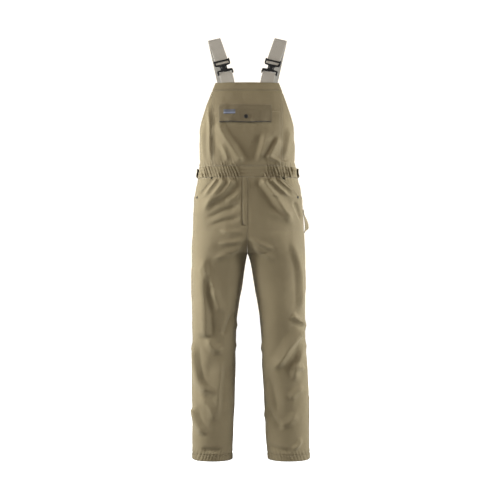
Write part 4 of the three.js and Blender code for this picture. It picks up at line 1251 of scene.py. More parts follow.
@dataclass
class HardPiece:
    """A moulded or pressed piece, built from bevelled solids in its own frame."""

    name: str
    axes: Axes
    mesh: bmesh.types.BMesh = field(default_factory=bmesh.new)

    def plate(self, outline: Array, low: float, high: float, bevel: float, crown: float = 0.0) -> None:
        """Add a plate with rounded edges.

        Args:
            outline: (x, y) corners in order.
            low: Its underside.
            high: Its face.
            bevel: Radius of its edges.
            crown: How much its face rises in the middle of its width.
        """
        part = bmesh.new()
        base = [part.verts.new((x, y, low)) for x, y in outline]
        face = part.faces.new(base)
        grown = bmesh.ops.extrude_face_region(part, geom=[face])["geom"]
        bmesh.ops.translate(
            part, vec=(0, 0, high - low), verts=[v for v in grown if isinstance(v, bmesh.types.BMVert)]
        )
        bmesh.ops.recalc_face_normals(part, faces=part.faces)
        sharp = [e for e in part.edges if len(e.link_faces) == 2 and e.calc_face_angle(0) > 0.6]
        bmesh.ops.bevel(
            part, geom=sharp, offset=bevel, segments=3, profile=0.5, affect="EDGES", clamp_overlap=True
        )
        if crown:
            reach = max(abs(x) for x, _ in outline)
            for v in part.verts:
                v.co.z += crown * (1 - (v.co.x / reach) ** 2) * (1 if v.co.z > 0 else -1)
        self.take(part)

    def bar(self, corners: tuple[float, float, float, float, float, float], bevel: float) -> None:
        """Add a rounded bar from (x0, x1, y0, y1, z0, z1)."""
        x0, x1, y0, y1, z0, z1 = corners
        self.plate(np.array([(x0, y0), (x1, y0), (x1, y1), (x0, y1)]), z0, z1, bevel)

    def rod(self, half: float, y: float, z: float, radius: float) -> None:
        """Add a round rod across the piece."""
        part = bmesh.new()
        turn = Matrix.Translation((0, y, z)) @ Matrix.Rotation(math.pi / 2, 4, "Y")
        bmesh.ops.create_cone(
            part, cap_ends=True, segments=20, radius1=radius, radius2=radius, depth=2 * half, matrix=turn
        )
        self.take(part)

    def lathe(self, profile: Sequence[tuple[float, float]], segments: int = 40) -> None:
        """Add a turned solid from (radius, height) pairs that start and end on its axis."""
        part = bmesh.new()
        rings = []
        for radius, height in profile:
            if radius < 1e-6:
                rings.append([part.verts.new((0, 0, height))])
                continue
            angles = np.arange(segments) * 2 * math.pi / segments
            rings.append(
                [part.verts.new((radius * math.cos(a), radius * math.sin(a), height)) for a in angles]
            )
        for low, high in zip(rings[:-1], rings[1:]):
            for k in range(segments):
                ring = [
                    low[k % len(low)], low[(k + 1) % len(low)], high[(k + 1) % len(high)], high[k % len(high)]
                ]
                corners = list(dict.fromkeys(ring))
                if len(corners) > 2:
                    part.faces.new(corners)
        bmesh.ops.recalc_face_normals(part, faces=part.faces)
        self.take(part)

    def take(self, part: bmesh.types.BMesh) -> None:
        """Move a finished solid into the piece."""
        spare = bpy.data.meshes.new("part")
        part.to_mesh(spare)
        part.free()
        self.mesh.from_mesh(spare)
        bpy.data.meshes.remove(spare)

    def finish(self, finish: FinishBase, body: str, *nodes: str) -> bpy.types.Object:
        """Make the object, wear its edges, and ride it on a body.

        Args:
            finish: What it is made of.
            body: The body it moves with.
            *nodes: The frame's nodes that it stands for.

        Returns:
            The object.
        """
        self.mesh.verts.index_update()
        local = np.array([v.co[:] for v in self.mesh.verts])
        faces = [[v.index for v in f.verts] for f in self.mesh.faces]
        bend = np.array([self._sharpest(v) for v in self.mesh.verts])
        made = make_object(
            self.name,
            frame_metres(self.axes.put(local)),
            faces,
            finish,
            local[:, :2] * MM,
            np.clip(bend - 0.2, 0, 1),
        )
        for edge, source in zip(made.data.edges, self._edges(made)):
            edge.use_edge_sharp = source
        self.mesh.free()
        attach(made, body)
        if nodes:
            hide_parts(*nodes)
        return made

    @staticmethod
    def _sharpest(vertex: bmesh.types.BMVert) -> float:
        """Return the largest angle between faces at a vertex's edges."""
        angles = (e.calc_face_angle(0.0) for e in vertex.link_edges if len(e.link_faces) == 2)
        return max(angles, default=0.0)

    def _edges(self, made: bpy.types.Object) -> list[bool]:
        """Return which of the object's edges are sharp."""
        known = {
            frozenset((e.verts[0].index, e.verts[1].index)): e.calc_face_angle(0.0) > 0.75
            for e in self.mesh.edges
        }
        return [known.get(frozenset(e.vertices[:]), False) for e in made.data.edges]


CURVE_STEPS = 7


def curve_outline(*commands: tuple[float, ...]) -> Array:
    """Draw an outline's right half and mirror it.

    Args:
        *commands: (x, y) for a straight run, or (control x, control y, x, y) for a curved one.

    Returns:
        The whole outline's corners, in order.
    """
    points = [np.array(commands[0][:2])]
    for command in commands[1:]:
        if len(command) == 2:
            points.append(np.array(command))
            continue
        start, control, end = points[-1], np.array(command[:2]), np.array(command[2:])
        for t in np.linspace(1 / CURVE_STEPS, 1, CURVE_STEPS):
            points.append((1 - t) ** 2 * start + 2 * t * (1 - t) * control + t * t * end)
    mirrored = [point * np.array([-1, 1]) for point in reversed(points) if abs(point[0]) > 1e-6]
    return np.array(points + mirrored)


# ---- The garment's sub-assemblies ----

SIDES = (("right", -1.0), ("left", 1.0))
BAND_ROWS = (
    *rows_along((Edge.BOTTOM,), 2.0, 5.0), Row(Edge.TOP, 2.2)
)  # on the bib's and the back's top bands


@dataclass
class Assembly:
    """What every sub-assembly has: the surface it lies on, and the finishes."""

    garment: Garment
    wardrobe: Wardrobe

    def sew_on(self, pieces: Sequence[ClothPiece], stitching: str) -> None:
        """Make pieces of cloth that ride on the garment, then the rows of thread that hold them.

        Args:
            pieces: The pieces, in order.
            stitching: The name of the thread's object.
        """
        thread = Stitching(stitching)
        for piece in pieces:
            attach(piece.build(self.garment, self.wardrobe), "garment")
            thread.lines += piece.stitch_lines()
            log.info("made %s", piece.name)
        thread.sew(self.wardrobe.thread, "garment")


def torso_place(turn: Array, z: Array) -> Spot:
    """Turn an angle round the torso, from 0 at the front past 90 at the left, into (side, angle, height)."""
    wrapped = np.where(turn > 180, turn - 360, turn)
    return np.where(wrapped < 0, -1.0, 1.0), np.abs(wrapped), z


@dataclass
class Trousers(Assembly):
    """The legs, their pocket facings and patch pockets."""

    top: float = BAND_BOTTOM_Z - GAP
    mouth_top_x: float = 129.0
    mouth_bottom_x: float = 196.0
    mouth_bottom_z: float = 1022.0
    fly_x: float = -29.0
    fly_bottom_z: float = 908.0
    hem_rows: tuple[float, float] = (21.0, 23.4)
    seat_pocket_x: tuple[float, float] = (42.0, 168.0)
    seat_pocket_z: float = 880.0
    seat_pocket_height: float = 150.0
    rule_pocket_angles: tuple[float, float] = (98.0, 128.0)
    rule_pocket_z: float = 590.0
    rule_pocket_height: float = 210.0

    def mouth_angle(self, side: float, z: Array) -> Array:
        """Return the angle of a front panel's outer edge, which the slant pocket mouth cuts away."""
        share = np.clip((z - self.mouth_bottom_z) / (BAND_BOTTOM_Z - self.mouth_bottom_z), 0.0, 1.0)
        out = self.mouth_bottom_x + (self.mouth_top_x - self.mouth_bottom_x) * share
        slant = self.garment.psi_at(filled(side, z), CENTRE_X + side * out, z)
        cut = smoothstep(z, self.mouth_bottom_z - 15, self.mouth_bottom_z + 1)
        return 90.0 + (np.minimum(slant, 90.0) - 90.0) * cut

    def front(self, word: str, side: float) -> ClothPiece:
        """Return a front leg panel."""

        def place(s: Array, t: Array) -> Spot:
            """Place the panel from the inner edge out to the side seam or pocket mouth."""
            z = t * self.top
            inner = self.garment.centre_angle(filled(side, z), z)
            return filled(side, z), inner + s * (self.mouth_angle(side, z) - inner), z

        def depth(s: Array, t: Array, near: Array) -> Array:
            """Gape at the mouth, and dip under the zip on the right."""
            z = t * self.top
            _, psi, _ = place(s, t)
            x = self.garment.bare(filled(side, z), psi, z)[..., 0]
            share = (z - self.mouth_bottom_z) / (BAND_BOTTOM_Z - self.mouth_bottom_z)
            edge = CENTRE_X + side * (self.mouth_bottom_x + (self.mouth_top_x - self.mouth_bottom_x) * share)
            along = window(z, 1030, 1074, 16)
            gape = (2.2 if side < 0 else 3.4) * along * smoothstep(np.abs(x - edge), 16, 0)
            if side > 0:
                return gape
            hollow = window(x, self.fly_x + 1, CENTRE_X + 4, 2.5) * smoothstep(
                z, self.fly_bottom_z - 3, self.fly_bottom_z + 1
            )
            return gape - 6.4 * hollow

        return ClothPiece(
            f"{word}_leg_front",
            place,
            228.0,
            self.top,
            depth,
            lambda s, t, near: depth(s, t, near) - CLOTH,
            step=2.9,
            rows=(
                *rows_along((Edge.BOTTOM,), *self.hem_rows),
                *rows_along((Edge.END,), 2.2, 8.2, low=0.941, high=0.995),
                Row(Edge.START, 2.4, 0.735, 0.81 if side < 0 else 0.99),
            ),
        )

    def back(self, word: str, side: float) -> ClothPiece:
        """Return a back leg panel, with a double-stitched seat seam and outside seam."""

        def place(s: Array, t: Array) -> Spot:
            """Place the panel from the inner edge out to the side seam."""
            z = t * self.top
            inner = self.garment.centre_angle(filled(side, z), z)
            return filled(side, z), 180 - inner - s * (90.0 - inner), z

        return ClothPiece(
            f"{word}_leg_back",
            place,
            228.0,
            self.top,
            step=2.9,
            rows=(
                *rows_along((Edge.BOTTOM,), *self.hem_rows),
                Row(Edge.START, 2.4, 0.735, 0.998),
                Row(Edge.START, 8.4, 0.745, 0.998),
                *rows_along((Edge.END,), 2.4, 8.4, high=0.998),
            ),
        )

    def facing(self, word: str, side: float) -> ClothPiece:
        """Return the cloth behind a pocket mouth."""

        def place(s: Array, t: Array) -> Spot:
            """Place it from the middle of the front panel to the side seam."""
            z = RISE_END_Z + t * (self.top - RISE_END_Z)
            inner = self.garment.centre_angle(filled(side, z), z)
            start = 90 - (90 - inner) * 6 / 11
            return filled(side, z), start + s * (89.6 - start), z

        low = -CLOTH - GAP
        return ClothPiece(f"{word}_pocket_bag", place, 105.0, 204.0, low, low - TRIM)

    def seat_pocket(self, word: str, side: float) -> ClothPiece:
        """Return a patch pocket on the seat, a little full, with a hemmed mouth and a pointed foot."""
        height = self.seat_pocket_height

        def place(s: Array, t: Array) -> Spot:
            """Place the pocket, its lower corners cut to a blunt point."""
            foot = 14.0 * np.abs(2 * s - 1)
            z = self.seat_pocket_z + foot * (1 - t) + t * (height - foot)
            inner, outer = (
                self.garment.psi_at(
                    filled(side, z), CENTRE_X + side * x, z, back=True
                ) for x in self.seat_pocket_x
            )
            return filled(side, z), inner + s * (outer - inner), z

        def puff(s: Array, t: Array, near: Array) -> Array:
            """Fill the pocket slightly away from its sewn edges."""
            full = 2.6 * smoothstep(near, 4, 34) * np.sin(np.pi * s)
            return 2 * GAP + full + 1.6 * np.exp(-(((1 - t) * height / 9.0) ** 2)) * np.sin(np.pi * s)

        return ClothPiece(
            f"{word}_back_pocket",
            place,
            133.0,
            height,
            lambda s, t, near: puff(s, t, near) + TRIM,
            puff,
            rows=(
                *rows_along((Edge.START, Edge.END, Edge.BOTTOM), 1.8, 8.0),
                *rows_along((Edge.TOP,), 22.0, 24.6),
            ),
        )

    def rule_pocket(self) -> ClothPiece:
        """Return the long pocket for a folding rule on the right thigh."""
        height = self.rule_pocket_height

        def place(s: Array, t: Array) -> Spot:
            """Place the pocket."""
            first, last = self.rule_pocket_angles
            return filled(-1.0, s), first + (last - first) * s, self.rule_pocket_z + height * t

        def puff(s: Array, t: Array, near: Array) -> Array:
            """Stand the pocket's mouth and middle off the leg."""
            mouth = 2.0 * np.exp(-(((1 - t) * height / 12.0) ** 2)) * np.sin(np.pi * s)
            return GAP + 2.2 * smoothstep(near, 3, 20) + mouth

        return ClothPiece(
            "ruler_pocket",
            place,
            61.0,
            height,
            lambda s, t, near: puff(s, t, near) + TRIM,
            puff,
            rows=(
                *rows_along((Edge.START, Edge.END, Edge.BOTTOM), 1.8),
                Row(Edge.BOTTOM, 30.0),
                Row(Edge.TOP, 20.0),
            ),
        )

    def build(self) -> None:
        """Make every piece of the trousers."""
        pieces = [self.rule_pocket()]
        for word, side in SIDES:
            pieces += [
                self.front(word, side),
                self.back(word, side),
                self.facing(word, side),
                self.seat_pocket(word, side),
            ]
        self.sew_on(pieces, "trouser_stitching")


@dataclass
class Fly(Assembly):
    """The fly's placket over its zip."""

    left_x: float = -29.0
    right_x: float = CENTRE_X - 0.3
    bottom_z: float = 905.0
    corner: float = 34.0

    def build(self) -> None:
        """Make the placket, with a curved foot, and its stitching."""

        def place(s: Array, t: Array) -> Spot:
            """Place the placket; its left edge curves in to the centre at its foot."""
            z = self.bottom_z + t * (BAND_BOTTOM_Z - GAP - self.bottom_z)
            bend = np.clip((self.bottom_z + self.corner - z) / self.corner, 0.0, 1.0)
            left = self.left_x + (self.right_x - 3.0 - self.left_x) * (1 - np.sqrt(1 - bend**2 * 0.995))
            x = left + s * (self.right_x - left)
            return filled(-1.0, z), self.garment.psi_at(filled(-1.0, z), x, z), z

        placket = ClothPiece(
            "fly_placket",
            place,
            18.0,
            184.0,
            lambda s, t, near: 0.3 + 1.0 * smoothstep(near, 0.0, 7.0),
            lambda s, t, near: 0.04 + 0.26 * smoothstep(near, 0.0, 4.0),
            step=1.2,
            rise_step=2.5,
            rows=(Row(Edge.START, 2.4, 0.1, 1.0),),
        )
        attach(placket.build(self.garment, self.wardrobe), "garment")
        thread = Stitching("fly_stitching", lines=placket.stitch_lines())
        thread.sew(self.wardrobe.twill, "garment")
        log.info("made the fly")


@dataclass
class Waist(Assembly):
    """The gathered waistband, its elastics and the side closings."""

    proud: float = 0.8
    edge: float = 0.15
    band_columns: int = 24
    elastic_height: float = 34.0
    tab_root: float = 118.0
    tab_end: float = 79.0
    tab_height: float = 34.0
    tab_lift: float = 2.6
    tab_flare: float = 2.8
    stud_angle: float = 92.0

    @property
    def middle(self) -> float:
        """Return the height of the band's middle."""
        return (BAND_BOTTOM_Z + BAND_TOP_Z) / 2

    def band(self, name: str, first: float) -> ClothPiece:
        """Return the front or back half of the band."""

        def place(s: Array, t: Array) -> Spot:
            """Place the band from one side seam to the other."""
            turn = first + self.edge + s * (180 - 2 * self.edge)
            return torso_place(turn, BAND_BOTTOM_Z + t * (BAND_TOP_Z - BAND_BOTTOM_Z))

        both = (Edge.BOTTOM, Edge.TOP)
        return ClothPiece(
            name,
            place,
            TORSO_HALF,
            BAND_TOP_Z - BAND_BOTTOM_Z,
            self.proud,
            -CLOTH,
            step=1.9,
            rise_step=2.4,
            rows=(*rows_along(both, 2.2), *rows_along(both, 15.0)),
            held="gathered",
        )

    def elastic(self, name: str, first: float, low: int, high: int) -> ClothPiece:
        """Return a length of elastic inside the band."""

        def place(s: Array, t: Array) -> Spot:
            """Place it between two of the band's own columns."""
            whole = 180 - 2 * self.edge
            start, end = (first + self.edge + column / self.band_columns * whole for column in (low, high))
            return torso_place(start + s * (end - start), self.middle + (t - 0.5) * self.elastic_height)

        depth = -CLOTH - GAP
        return ClothPiece(
            name,
            place,
            20.0 * (high - low),
            self.elastic_height,
            depth,
            depth - 1,
            step=2.4,
            held="stretched",
            finish="elastic",
        )

    def tab(self, word: str, side: float) -> ClothPiece:
        """Return a side closing's tab, with a rounded end."""

        def place(s: Array, t: Array) -> Spot:
            """Place the tab; its free corners are rounded."""
            bend = np.clip((s - 0.82) / 0.18, 0.0, 1.0)
            half = self.tab_height / 2 * (1 - 0.32 * (1 - np.sqrt(1 - bend**2 * 0.98)))
            return filled(side, s), self.tab_root + s * (
                self.tab_end - self.tab_root
            ), self.middle + (2 * t - 1) * half

        def lift(s: Array, t: Array, near: Array) -> Array:
            """Stand the tab off the band, over its press stud."""
            flare = self.tab_flare * smoothstep(s, 0.82, 1.0)
            return self.proud + GAP + 0.5 + self.tab_lift * smoothstep(s, 0.12, 0.5) + flare

        return ClothPiece(
            f"{word}_side_tab",
            place,
            78.0,
            self.tab_height,
            lambda s, t, near: lift(s, t, near) + 1.6,
            lift,
            step=2.2,
            rise_step=2.4,
            rows=(*rows_along((Edge.BOTTOM, Edge.TOP, Edge.END), 2.0), Row(Edge.START, 3.0)),
        )

    def build(self) -> None:
        """Make the band, its elastics, tabs and studs."""
        pieces = [
            self.band("front_waistband", -90),
            self.band("back_waistband", 90),
            self.elastic("right_waist_elastic", -90, 1, 11),
            self.elastic("left_waist_elastic", -90, 16, 23),
            self.elastic("back_waist_elastic", 90, 4, 20),
        ]
        self.sew_on(pieces, "waist_stitching")
        for word, side in SIDES:
            tab = self.tab(word, side)
            made = tab.build(self.garment, self.wardrobe)
            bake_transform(made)
            Stitching(f"{word}_tab_stitching", lines=tab.stitch_lines()[:3]).sew(
                self.wardrobe.thread, f"{word}_tab"
            )
            PressStud(f"{word}_side_cap", self.garment, side, self.stud_angle, self.middle).build(
                self.wardrobe, f"{word}_tab", self.proud + GAP + 0.5 + self.tab_lift + 1.6
            )
        log.info("made the waist")


@dataclass
class PressStud:
    """The visible cap of a press stud: a rolled rim round a dished middle, in millimetres."""

    name: str
    garment: Garment
    side: float
    angle: float
    z: float
    radius: float = 8.0

    def axes(self, depth: float) -> Axes:
        """Return the frame on the garment at a depth, with z outwards."""
        side, psi, z = (np.array([v]) for v in (self.side, self.angle, self.z))
        point, out = self.garment.lay(side, psi, z, depth)
        across = unit(np.cross([0.0, 0.0, 1.0], out[0]))
        return Axes(point[0], across, np.cross(out[0], across), out[0])

    def build(self, wardrobe: Wardrobe, body: str, depth: float) -> None:
        """Turn the cap and set it on its body."""
        r = self.radius
        cap = HardPiece(self.name, self.axes(depth))
        profile = [
            (0, -0.2),
            (r - 0.4, -0.2),
            (r, 0.1),
            (r + 0.05, 0.5),
            (r - 0.4, 1.15),
            (r - 1.2, 1.6),
            (r - 2.0, 1.55),
        ]
        profile += [(r - 2.5, 1.15), (r - 3.0, 0.95), (r * 0.4, 1.05), (r * 0.2, 1.3), (0, 1.4)]
        cap.lathe(profile)
        cap.finish(wardrobe.metal, body, self.name)
        log.info("made %s", self.name)


@dataclass
class Bib(Assembly):
    """The bib: its panels, top band, pocket, flap and label."""

    seam_x: float = 134.0
    edge_share: float = 0.661
    armhole_power: float = 1.25
    band_height: float = 31.0
    pocket_right: float = 129.0
    pocket_left: float = 124.0
    pocket_top: float = 1340.0
    flap_x: float = -17.0
    flap_width: float = 198.0
    flap_top: float = 1366.0
    flap_bottom: float = 1300.0
    flap_lift: float = 3.4
    stud_x: float = -15.0
    stud_z: float = 1319.0
    label_x: float = -77.0
    label_z: float = 1337.0
    label_width: float = 43.0
    label_height: float = 17.0

    def edge(self, side: float, z: Array) -> Array:
        """Return the bib's half width at a height, inside the armhole's curve."""
        _, half, _, _ = self.garment.section(filled(side, z), z)
        rise = np.maximum(0.0, (z - SIDE_TOP_Z) / (BIB_TOP_Z - SIDE_TOP_Z))
        return half * (1 - (1 - self.edge_share) * rise**self.armhole_power)

    def torso_at(self, x: Array, z: Array) -> Spot:
        """Return (side, angle, height) of the front surface at this x."""
        side = np.where(x < CENTRE_X, -1.0, 1.0)
        return side, self.garment.psi_at(side, x, z), z

    def across(self, low: float, high: float, inset: float = 0.0) -> Place:
        """Return a place function for a piece as wide as the bib, between two heights."""

        def place(s: Array, t: Array) -> Spot:
            """Place the piece from edge to edge."""
            z = low + t * (high - low)
            right = -np.minimum(self.seam_x - 0.15, self.edge(-1.0, z)) + inset
            left = np.minimum(self.seam_x - 0.15, self.edge(1.0, z)) - inset
            return self.torso_at(CENTRE_X + right + s * (left - right), z)

        return place

    def side_panel(self, word: str, side: float) -> ClothPiece:
        """Return a side panel of the bib, which tapers up into the armhole."""
        _, half, _, _ = self.garment.section(np.array([side]), np.array([BIB_TOP_Z]))
        tip = (1 - (self.seam_x + 2) / half[0]) / (1 - self.edge_share)
        top = SIDE_TOP_Z + (BIB_TOP_Z - SIDE_TOP_Z) * tip ** (1 / self.armhole_power)
        low = BAND_TOP_Z + GAP

        def place(s: Array, t: Array) -> Spot:
            """Place the panel from the bib's seam out to the side seam or armhole."""
            z = low + t * (top - low)
            seam = self.garment.psi_at(filled(side, z), CENTRE_X + side * (self.seam_x + 0.15), z)
            hole = self.garment.psi_at(filled(side, z), CENTRE_X + side * self.edge(side, z), z)
            out = np.where(z > SIDE_TOP_Z, np.minimum(hole, 90.0), 90.0)
            return filled(side, z), seam + s * (out - seam), z

        return ClothPiece(
            f"{word}_bib_side",
            place,
            118.0,
            top - low,
            step=2.6,
            rise_step=3.4,
            rows=(Row(Edge.END, 2.0, 0.47, 1.0), Row(Edge.END, 9.0, 0.47, 0.93)),
        )

    def pocket(self) -> ClothPiece:
        """Return the wide pocket under the flap, full towards its foot."""
        low, high = BAND_TOP_Z + 2, self.pocket_top

        def place(s: Array, t: Array) -> Spot:
            """Place the pocket."""
            x = CENTRE_X - self.pocket_right + s * (self.pocket_left + self.pocket_right)
            return self.torso_at(x, low + t * (high - low))

        def puff(s: Array, t: Array, near: Array) -> Array:
            """Fill the pocket below its flap."""
            return GAP + 2.4 * smoothstep(near, 3, 60) * smoothstep(t, 0.95, 0.55)

        return ClothPiece(
            "bib_pocket",
            place,
            self.pocket_left + self.pocket_right,
            high - low,
            lambda s, t, near: puff(s, t, near) + TRIM,
            puff,
            step=2.7,
            rise_step=3.4,
            rows=(*rows_along((Edge.START, Edge.END, Edge.BOTTOM), 2.0), Row(Edge.TOP, 18.0)),
        )

    def flap_depth(self, s: Array, t: Array) -> Array:
        """Return how far the flap's underside stands off the bib: clear of the pocket, wavy at its foot."""
        stand = GAP + (TRIM + self.flap_lift) * smoothstep(1 - t, 0.02, 0.34)
        x = (s - 0.5) * self.flap_width + self.flap_x
        free = smoothstep(t, 0.5, 0.0) * smoothstep(np.abs(x - self.stud_x), 10, 34)
        wave = 1.7 + 1.5 * np.sin(x / 15.0 + 0.7) + 0.9 * np.sin(x / 6.6)
        return stand + free * np.maximum(wave, 0.0) + 1.6 * smoothstep(s, 0.09, 0.0) * smoothstep(t, 0.4, 0.0)

    def flap_z(self, s: Array, t: Array) -> Array:
        """Return the height of a point of the flap, whose foot is a little uneven."""
        foot = self.flap_bottom + 1.2 * np.sin(s * 9.0) * (1 - t) - 2.2 * np.exp(-((s / 0.05) ** 2)) * (1 - t)
        return foot + t * (self.flap_top - foot)

    def flap(self) -> ClothPiece:
        """Return the pocket's flap."""

        def place(s: Array, t: Array) -> Spot:
            """Place the flap."""
            return self.torso_at(self.flap_x + (s - 0.5) * self.flap_width, self.flap_z(s, t))

        return ClothPiece(
            "bib_pocket_flap",
            place,
            self.flap_width,
            self.flap_top - self.flap_bottom,
            lambda s, t, near: self.flap_depth(s, t) + 1.7,
            lambda s, t, near: self.flap_depth(s, t),
            step=2.3,
            rise_step=2.3,
            rows=(*rows_along((Edge.START, Edge.END, Edge.BOTTOM, Edge.TOP), 2.0), Row(Edge.TOP, 8.0)),
            # The flap's darker twill is painted shade, not a different cloth.
            finish="painted_shade_twill",
        )

    def flap_painted_shadow(self) -> None:
        """Sew a dark cord under the flap's foot as painted shadow, standing in for the shade in the gap under
        the flap.
        """
        s = np.linspace(0.012, 0.988, 160)
        foot = np.zeros_like(s)
        z = self.flap_z(s, foot) - 1.1 + 0.5 * np.sin(s * 31.0)
        line = self.garment.lay(
            *self.torso_at(self.flap_x + (s - 0.5) * self.flap_width, z), self.flap_depth(s, foot) + 0.6
        )
        # A chain of dark stitches in place of the shadow under the flap's edge.
        cord = Stitching("flap_painted_shadow", pitch=2.4, length=4.6, thick=1.35, lines=[line])
        cord.sew(self.wardrobe.dark_thread_and_shadow, "flap")

    def label(self) -> ClothPiece:
        """Return the plain woven label on the flap."""

        def spot(s: Array, t: Array) -> tuple[Array, Array]:
            """Return (x, height) on the flap."""
            return self.label_x + (s - 0.5) * self.label_width, self.label_z + (t - 0.5) * self.label_height

        def place(s: Array, t: Array) -> Spot:
            """Place the label."""
            return self.torso_at(*spot(s, t))

        def face(s: Array, t: Array, near: Array) -> Array:
            """Lie on the flap, following it."""
            x, z = spot(s, t)
            share = (x - self.flap_x) / self.flap_width + 0.5
            return self.flap_depth(
                share, (z - self.flap_bottom) / (self.flap_top - self.flap_bottom)
            ) + 1.7 + 0.25

        return ClothPiece(
            "flap_label",
            place,
            self.label_width,
            self.label_height,
            lambda s, t, near: face(s, t, near) + 0.7,
            face,
            step=2.0,
            rise_step=2.0,
            edge_drop=0.3,
            finish="label",
            wear=0.2,
        )

    def build(self) -> None:
        """Make every piece of the bib."""
        low = BAND_TOP_Z + GAP
        seams = (Edge.START, Edge.END)
        seam_rows = rows_along(seams, 2.2, high=0.86) + rows_along(seams, 8.6, high=0.8)
        panel = ClothPiece(
            "bib_front_panel",
            self.across(low, BIB_TOP_Z),
            267.0,
            BIB_TOP_Z - low,
            step=2.7,
            rise_step=3.4,
            rows=seam_rows,
        )
        band = ClothPiece(
            "bib_top_band",
            self.across(BIB_TOP_Z - self.band_height, BIB_TOP_Z, 0.5),
            250.0,
            self.band_height,
            GAP + TRIM,
            GAP,
            step=2.7,
            rise_step=2.4,
            rows=BAND_ROWS,
        )
        pieces = [panel, band, self.pocket()] + [self.side_panel(word, side) for word, side in SIDES]
        self.sew_on(pieces, "bib_stitching")
        flap = self.flap()
        made = flap.build(self.garment, self.wardrobe)
        # Painted shadow under the flap's foot.
        self.flap_painted_shadow()
        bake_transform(made)
        lines = flap.stitch_lines()
        Stitching("flap_stitching", lines=lines[:3]).sew(self.wardrobe.thread, "flap")
        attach(self.label().build(self.garment, self.wardrobe), "flap")
        side, psi, _ = self.torso_at(np.array([self.stud_x]), np.array([self.stud_z]))
        PressStud("flap_cap", self.garment, float(side[0]), float(psi[0]), self.stud_z).build(
            self.wardrobe, "flap", GAP + TRIM + self.flap_lift + 1.7
        )
        log.info("made the flap")


@dataclass
class Back(Assembly):
    """The back panel and its top band."""

    corner: float = 56.0
    power: float = 1.7
    band_height: float = 38.0

    def top(self, turn: Array) -> Array:
        """Return the height of the panel's top edge at a turn."""
        rise = np.clip(np.minimum(turn - 90, 270 - turn) / self.corner, 0.0, 1.0)
        return SIDE_TOP_Z + (BACK_TOP_Z - SIDE_TOP_Z) * rise**self.power

    def build(self) -> None:
        """Make the panel and its band, with their stitching."""
        low = BAND_TOP_Z + GAP

        def panel(s: Array, t: Array) -> Spot:
            """Place the panel, which rises from the side seams to the braces."""
            turn = 90 + s * 180
            return torso_place(turn, low + t * (self.top(turn) - low))

        def band(s: Array, t: Array) -> Spot:
            """Place the band along the straight top edge."""
            turn = 90 + self.corner + s * (180 - 2 * self.corner)
            return torso_place(turn, BACK_TOP_Z - self.band_height * (1 - t))

        pieces = [
            ClothPiece(
                "back_panel",
                panel,
                470.0,
                242.0,
                step=3.0,
                rise_step=3.4,
                rows=rows_along((Edge.TOP,), 2.0, 9.0),
            ),
            ClothPiece(
                "back_top_band", band, 226.0, self.band_height, GAP + TRIM, GAP, step=2.7, rise_step=2.6,
                rows=BAND_ROWS,
            ),
        ]
        self.sew_on(pieces, "back_stitching")


@dataclass
class Ribbon:
    """A flat band of webbing or doubled cloth along a line of frames, in millimetres."""

    name: str
    centres: Array
    across: Array
    out: Array
    width: float
    thick: float
    rib: float = 0.0
    rib_pitch: float = 2.6
    step: float = 0.65
    steps_between: int = 10

    def build(self, finish: FinishBase, node: str) -> bpy.types.Object:
        """Make the band.

        Args:
            finish: What it is made of.
            node: The frame's node that it stands for.

        Returns:
            The object, which still has to ride on a body.
        """
        centre = smooth_curve(np.asarray(self.centres, float), self.steps_between)
        across = smooth_curve(np.asarray(self.across, float), self.steps_between)
        out = smooth_curve(np.asarray(self.out, float), self.steps_between)
        run = np.concatenate([[0.0], np.cumsum(np.linalg.norm(np.diff(centre, axis=0), axis=1))])
        at = np.linspace(0, run[-1], max(8, int(run[-1] / self.step)))
        centre, across, out = (
            np.stack([np.interp(at, run, v[:, k]) for k in range(3)], axis=1) for v in (centre, across, out)
        )
        along = np.gradient(centre, axis=0)
        along /= np.linalg.norm(along, axis=1, keepdims=True)
        across -= along * np.einsum("ij,ij->i", across, along)[:, None]
        across /= np.linalg.norm(across, axis=1, keepdims=True)
        straight = np.cross(across, along)
        straight *= np.sign(np.einsum("ij,ij->i", straight, out))[:, None]
        columns = spread(self.width, 3.6)
        place = (columns - 0.5) * self.width
        near = np.minimum(columns, 1 - columns) * self.width
        round_edge = self.thick / 2 * (1 - np.exp(-((near + 0.25) / 0.55)))
        selvedge = 0.12 * np.exp(-(((near - 1.4) / 0.8) ** 2))
        ribs = self.rib * np.sin(2 * math.pi * at / self.rib_pitch)
        depth = round_edge[None, :] + selvedge[None, :] + ribs[:, None] * smoothstep(near, 1.6, 3.2)[None, :]
        middle = centre[:, None, :] + across[:, None, :] * place[None, :, None]
        face = middle + straight[:, None, :] * depth[..., None]
        under = middle - straight[:, None, :] * depth[..., None]
        points = np.vstack([face.reshape(-1, 3), under.reshape(-1, 3)])
        faces = facing_out(points, double_grid_faces(len(at), len(columns)))
        uv = np.stack(np.broadcast_arrays(place[None, :], at[:, None]), axis=-1).reshape(-1, 2) * MM
        rubbed = np.broadcast_to(0.6 * np.exp(-((near / 1.5) ** 2))[None, :], depth.shape).ravel()
        made = make_object(
            self.name,
            frame_metres(points),
            faces,
            finish,
            np.vstack([uv, uv]),
            np.concatenate([rubbed, rubbed]),
        )
        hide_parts(node)
        self.face, self.normals = face, np.broadcast_to(straight[:, None, :], face.shape)
        return made


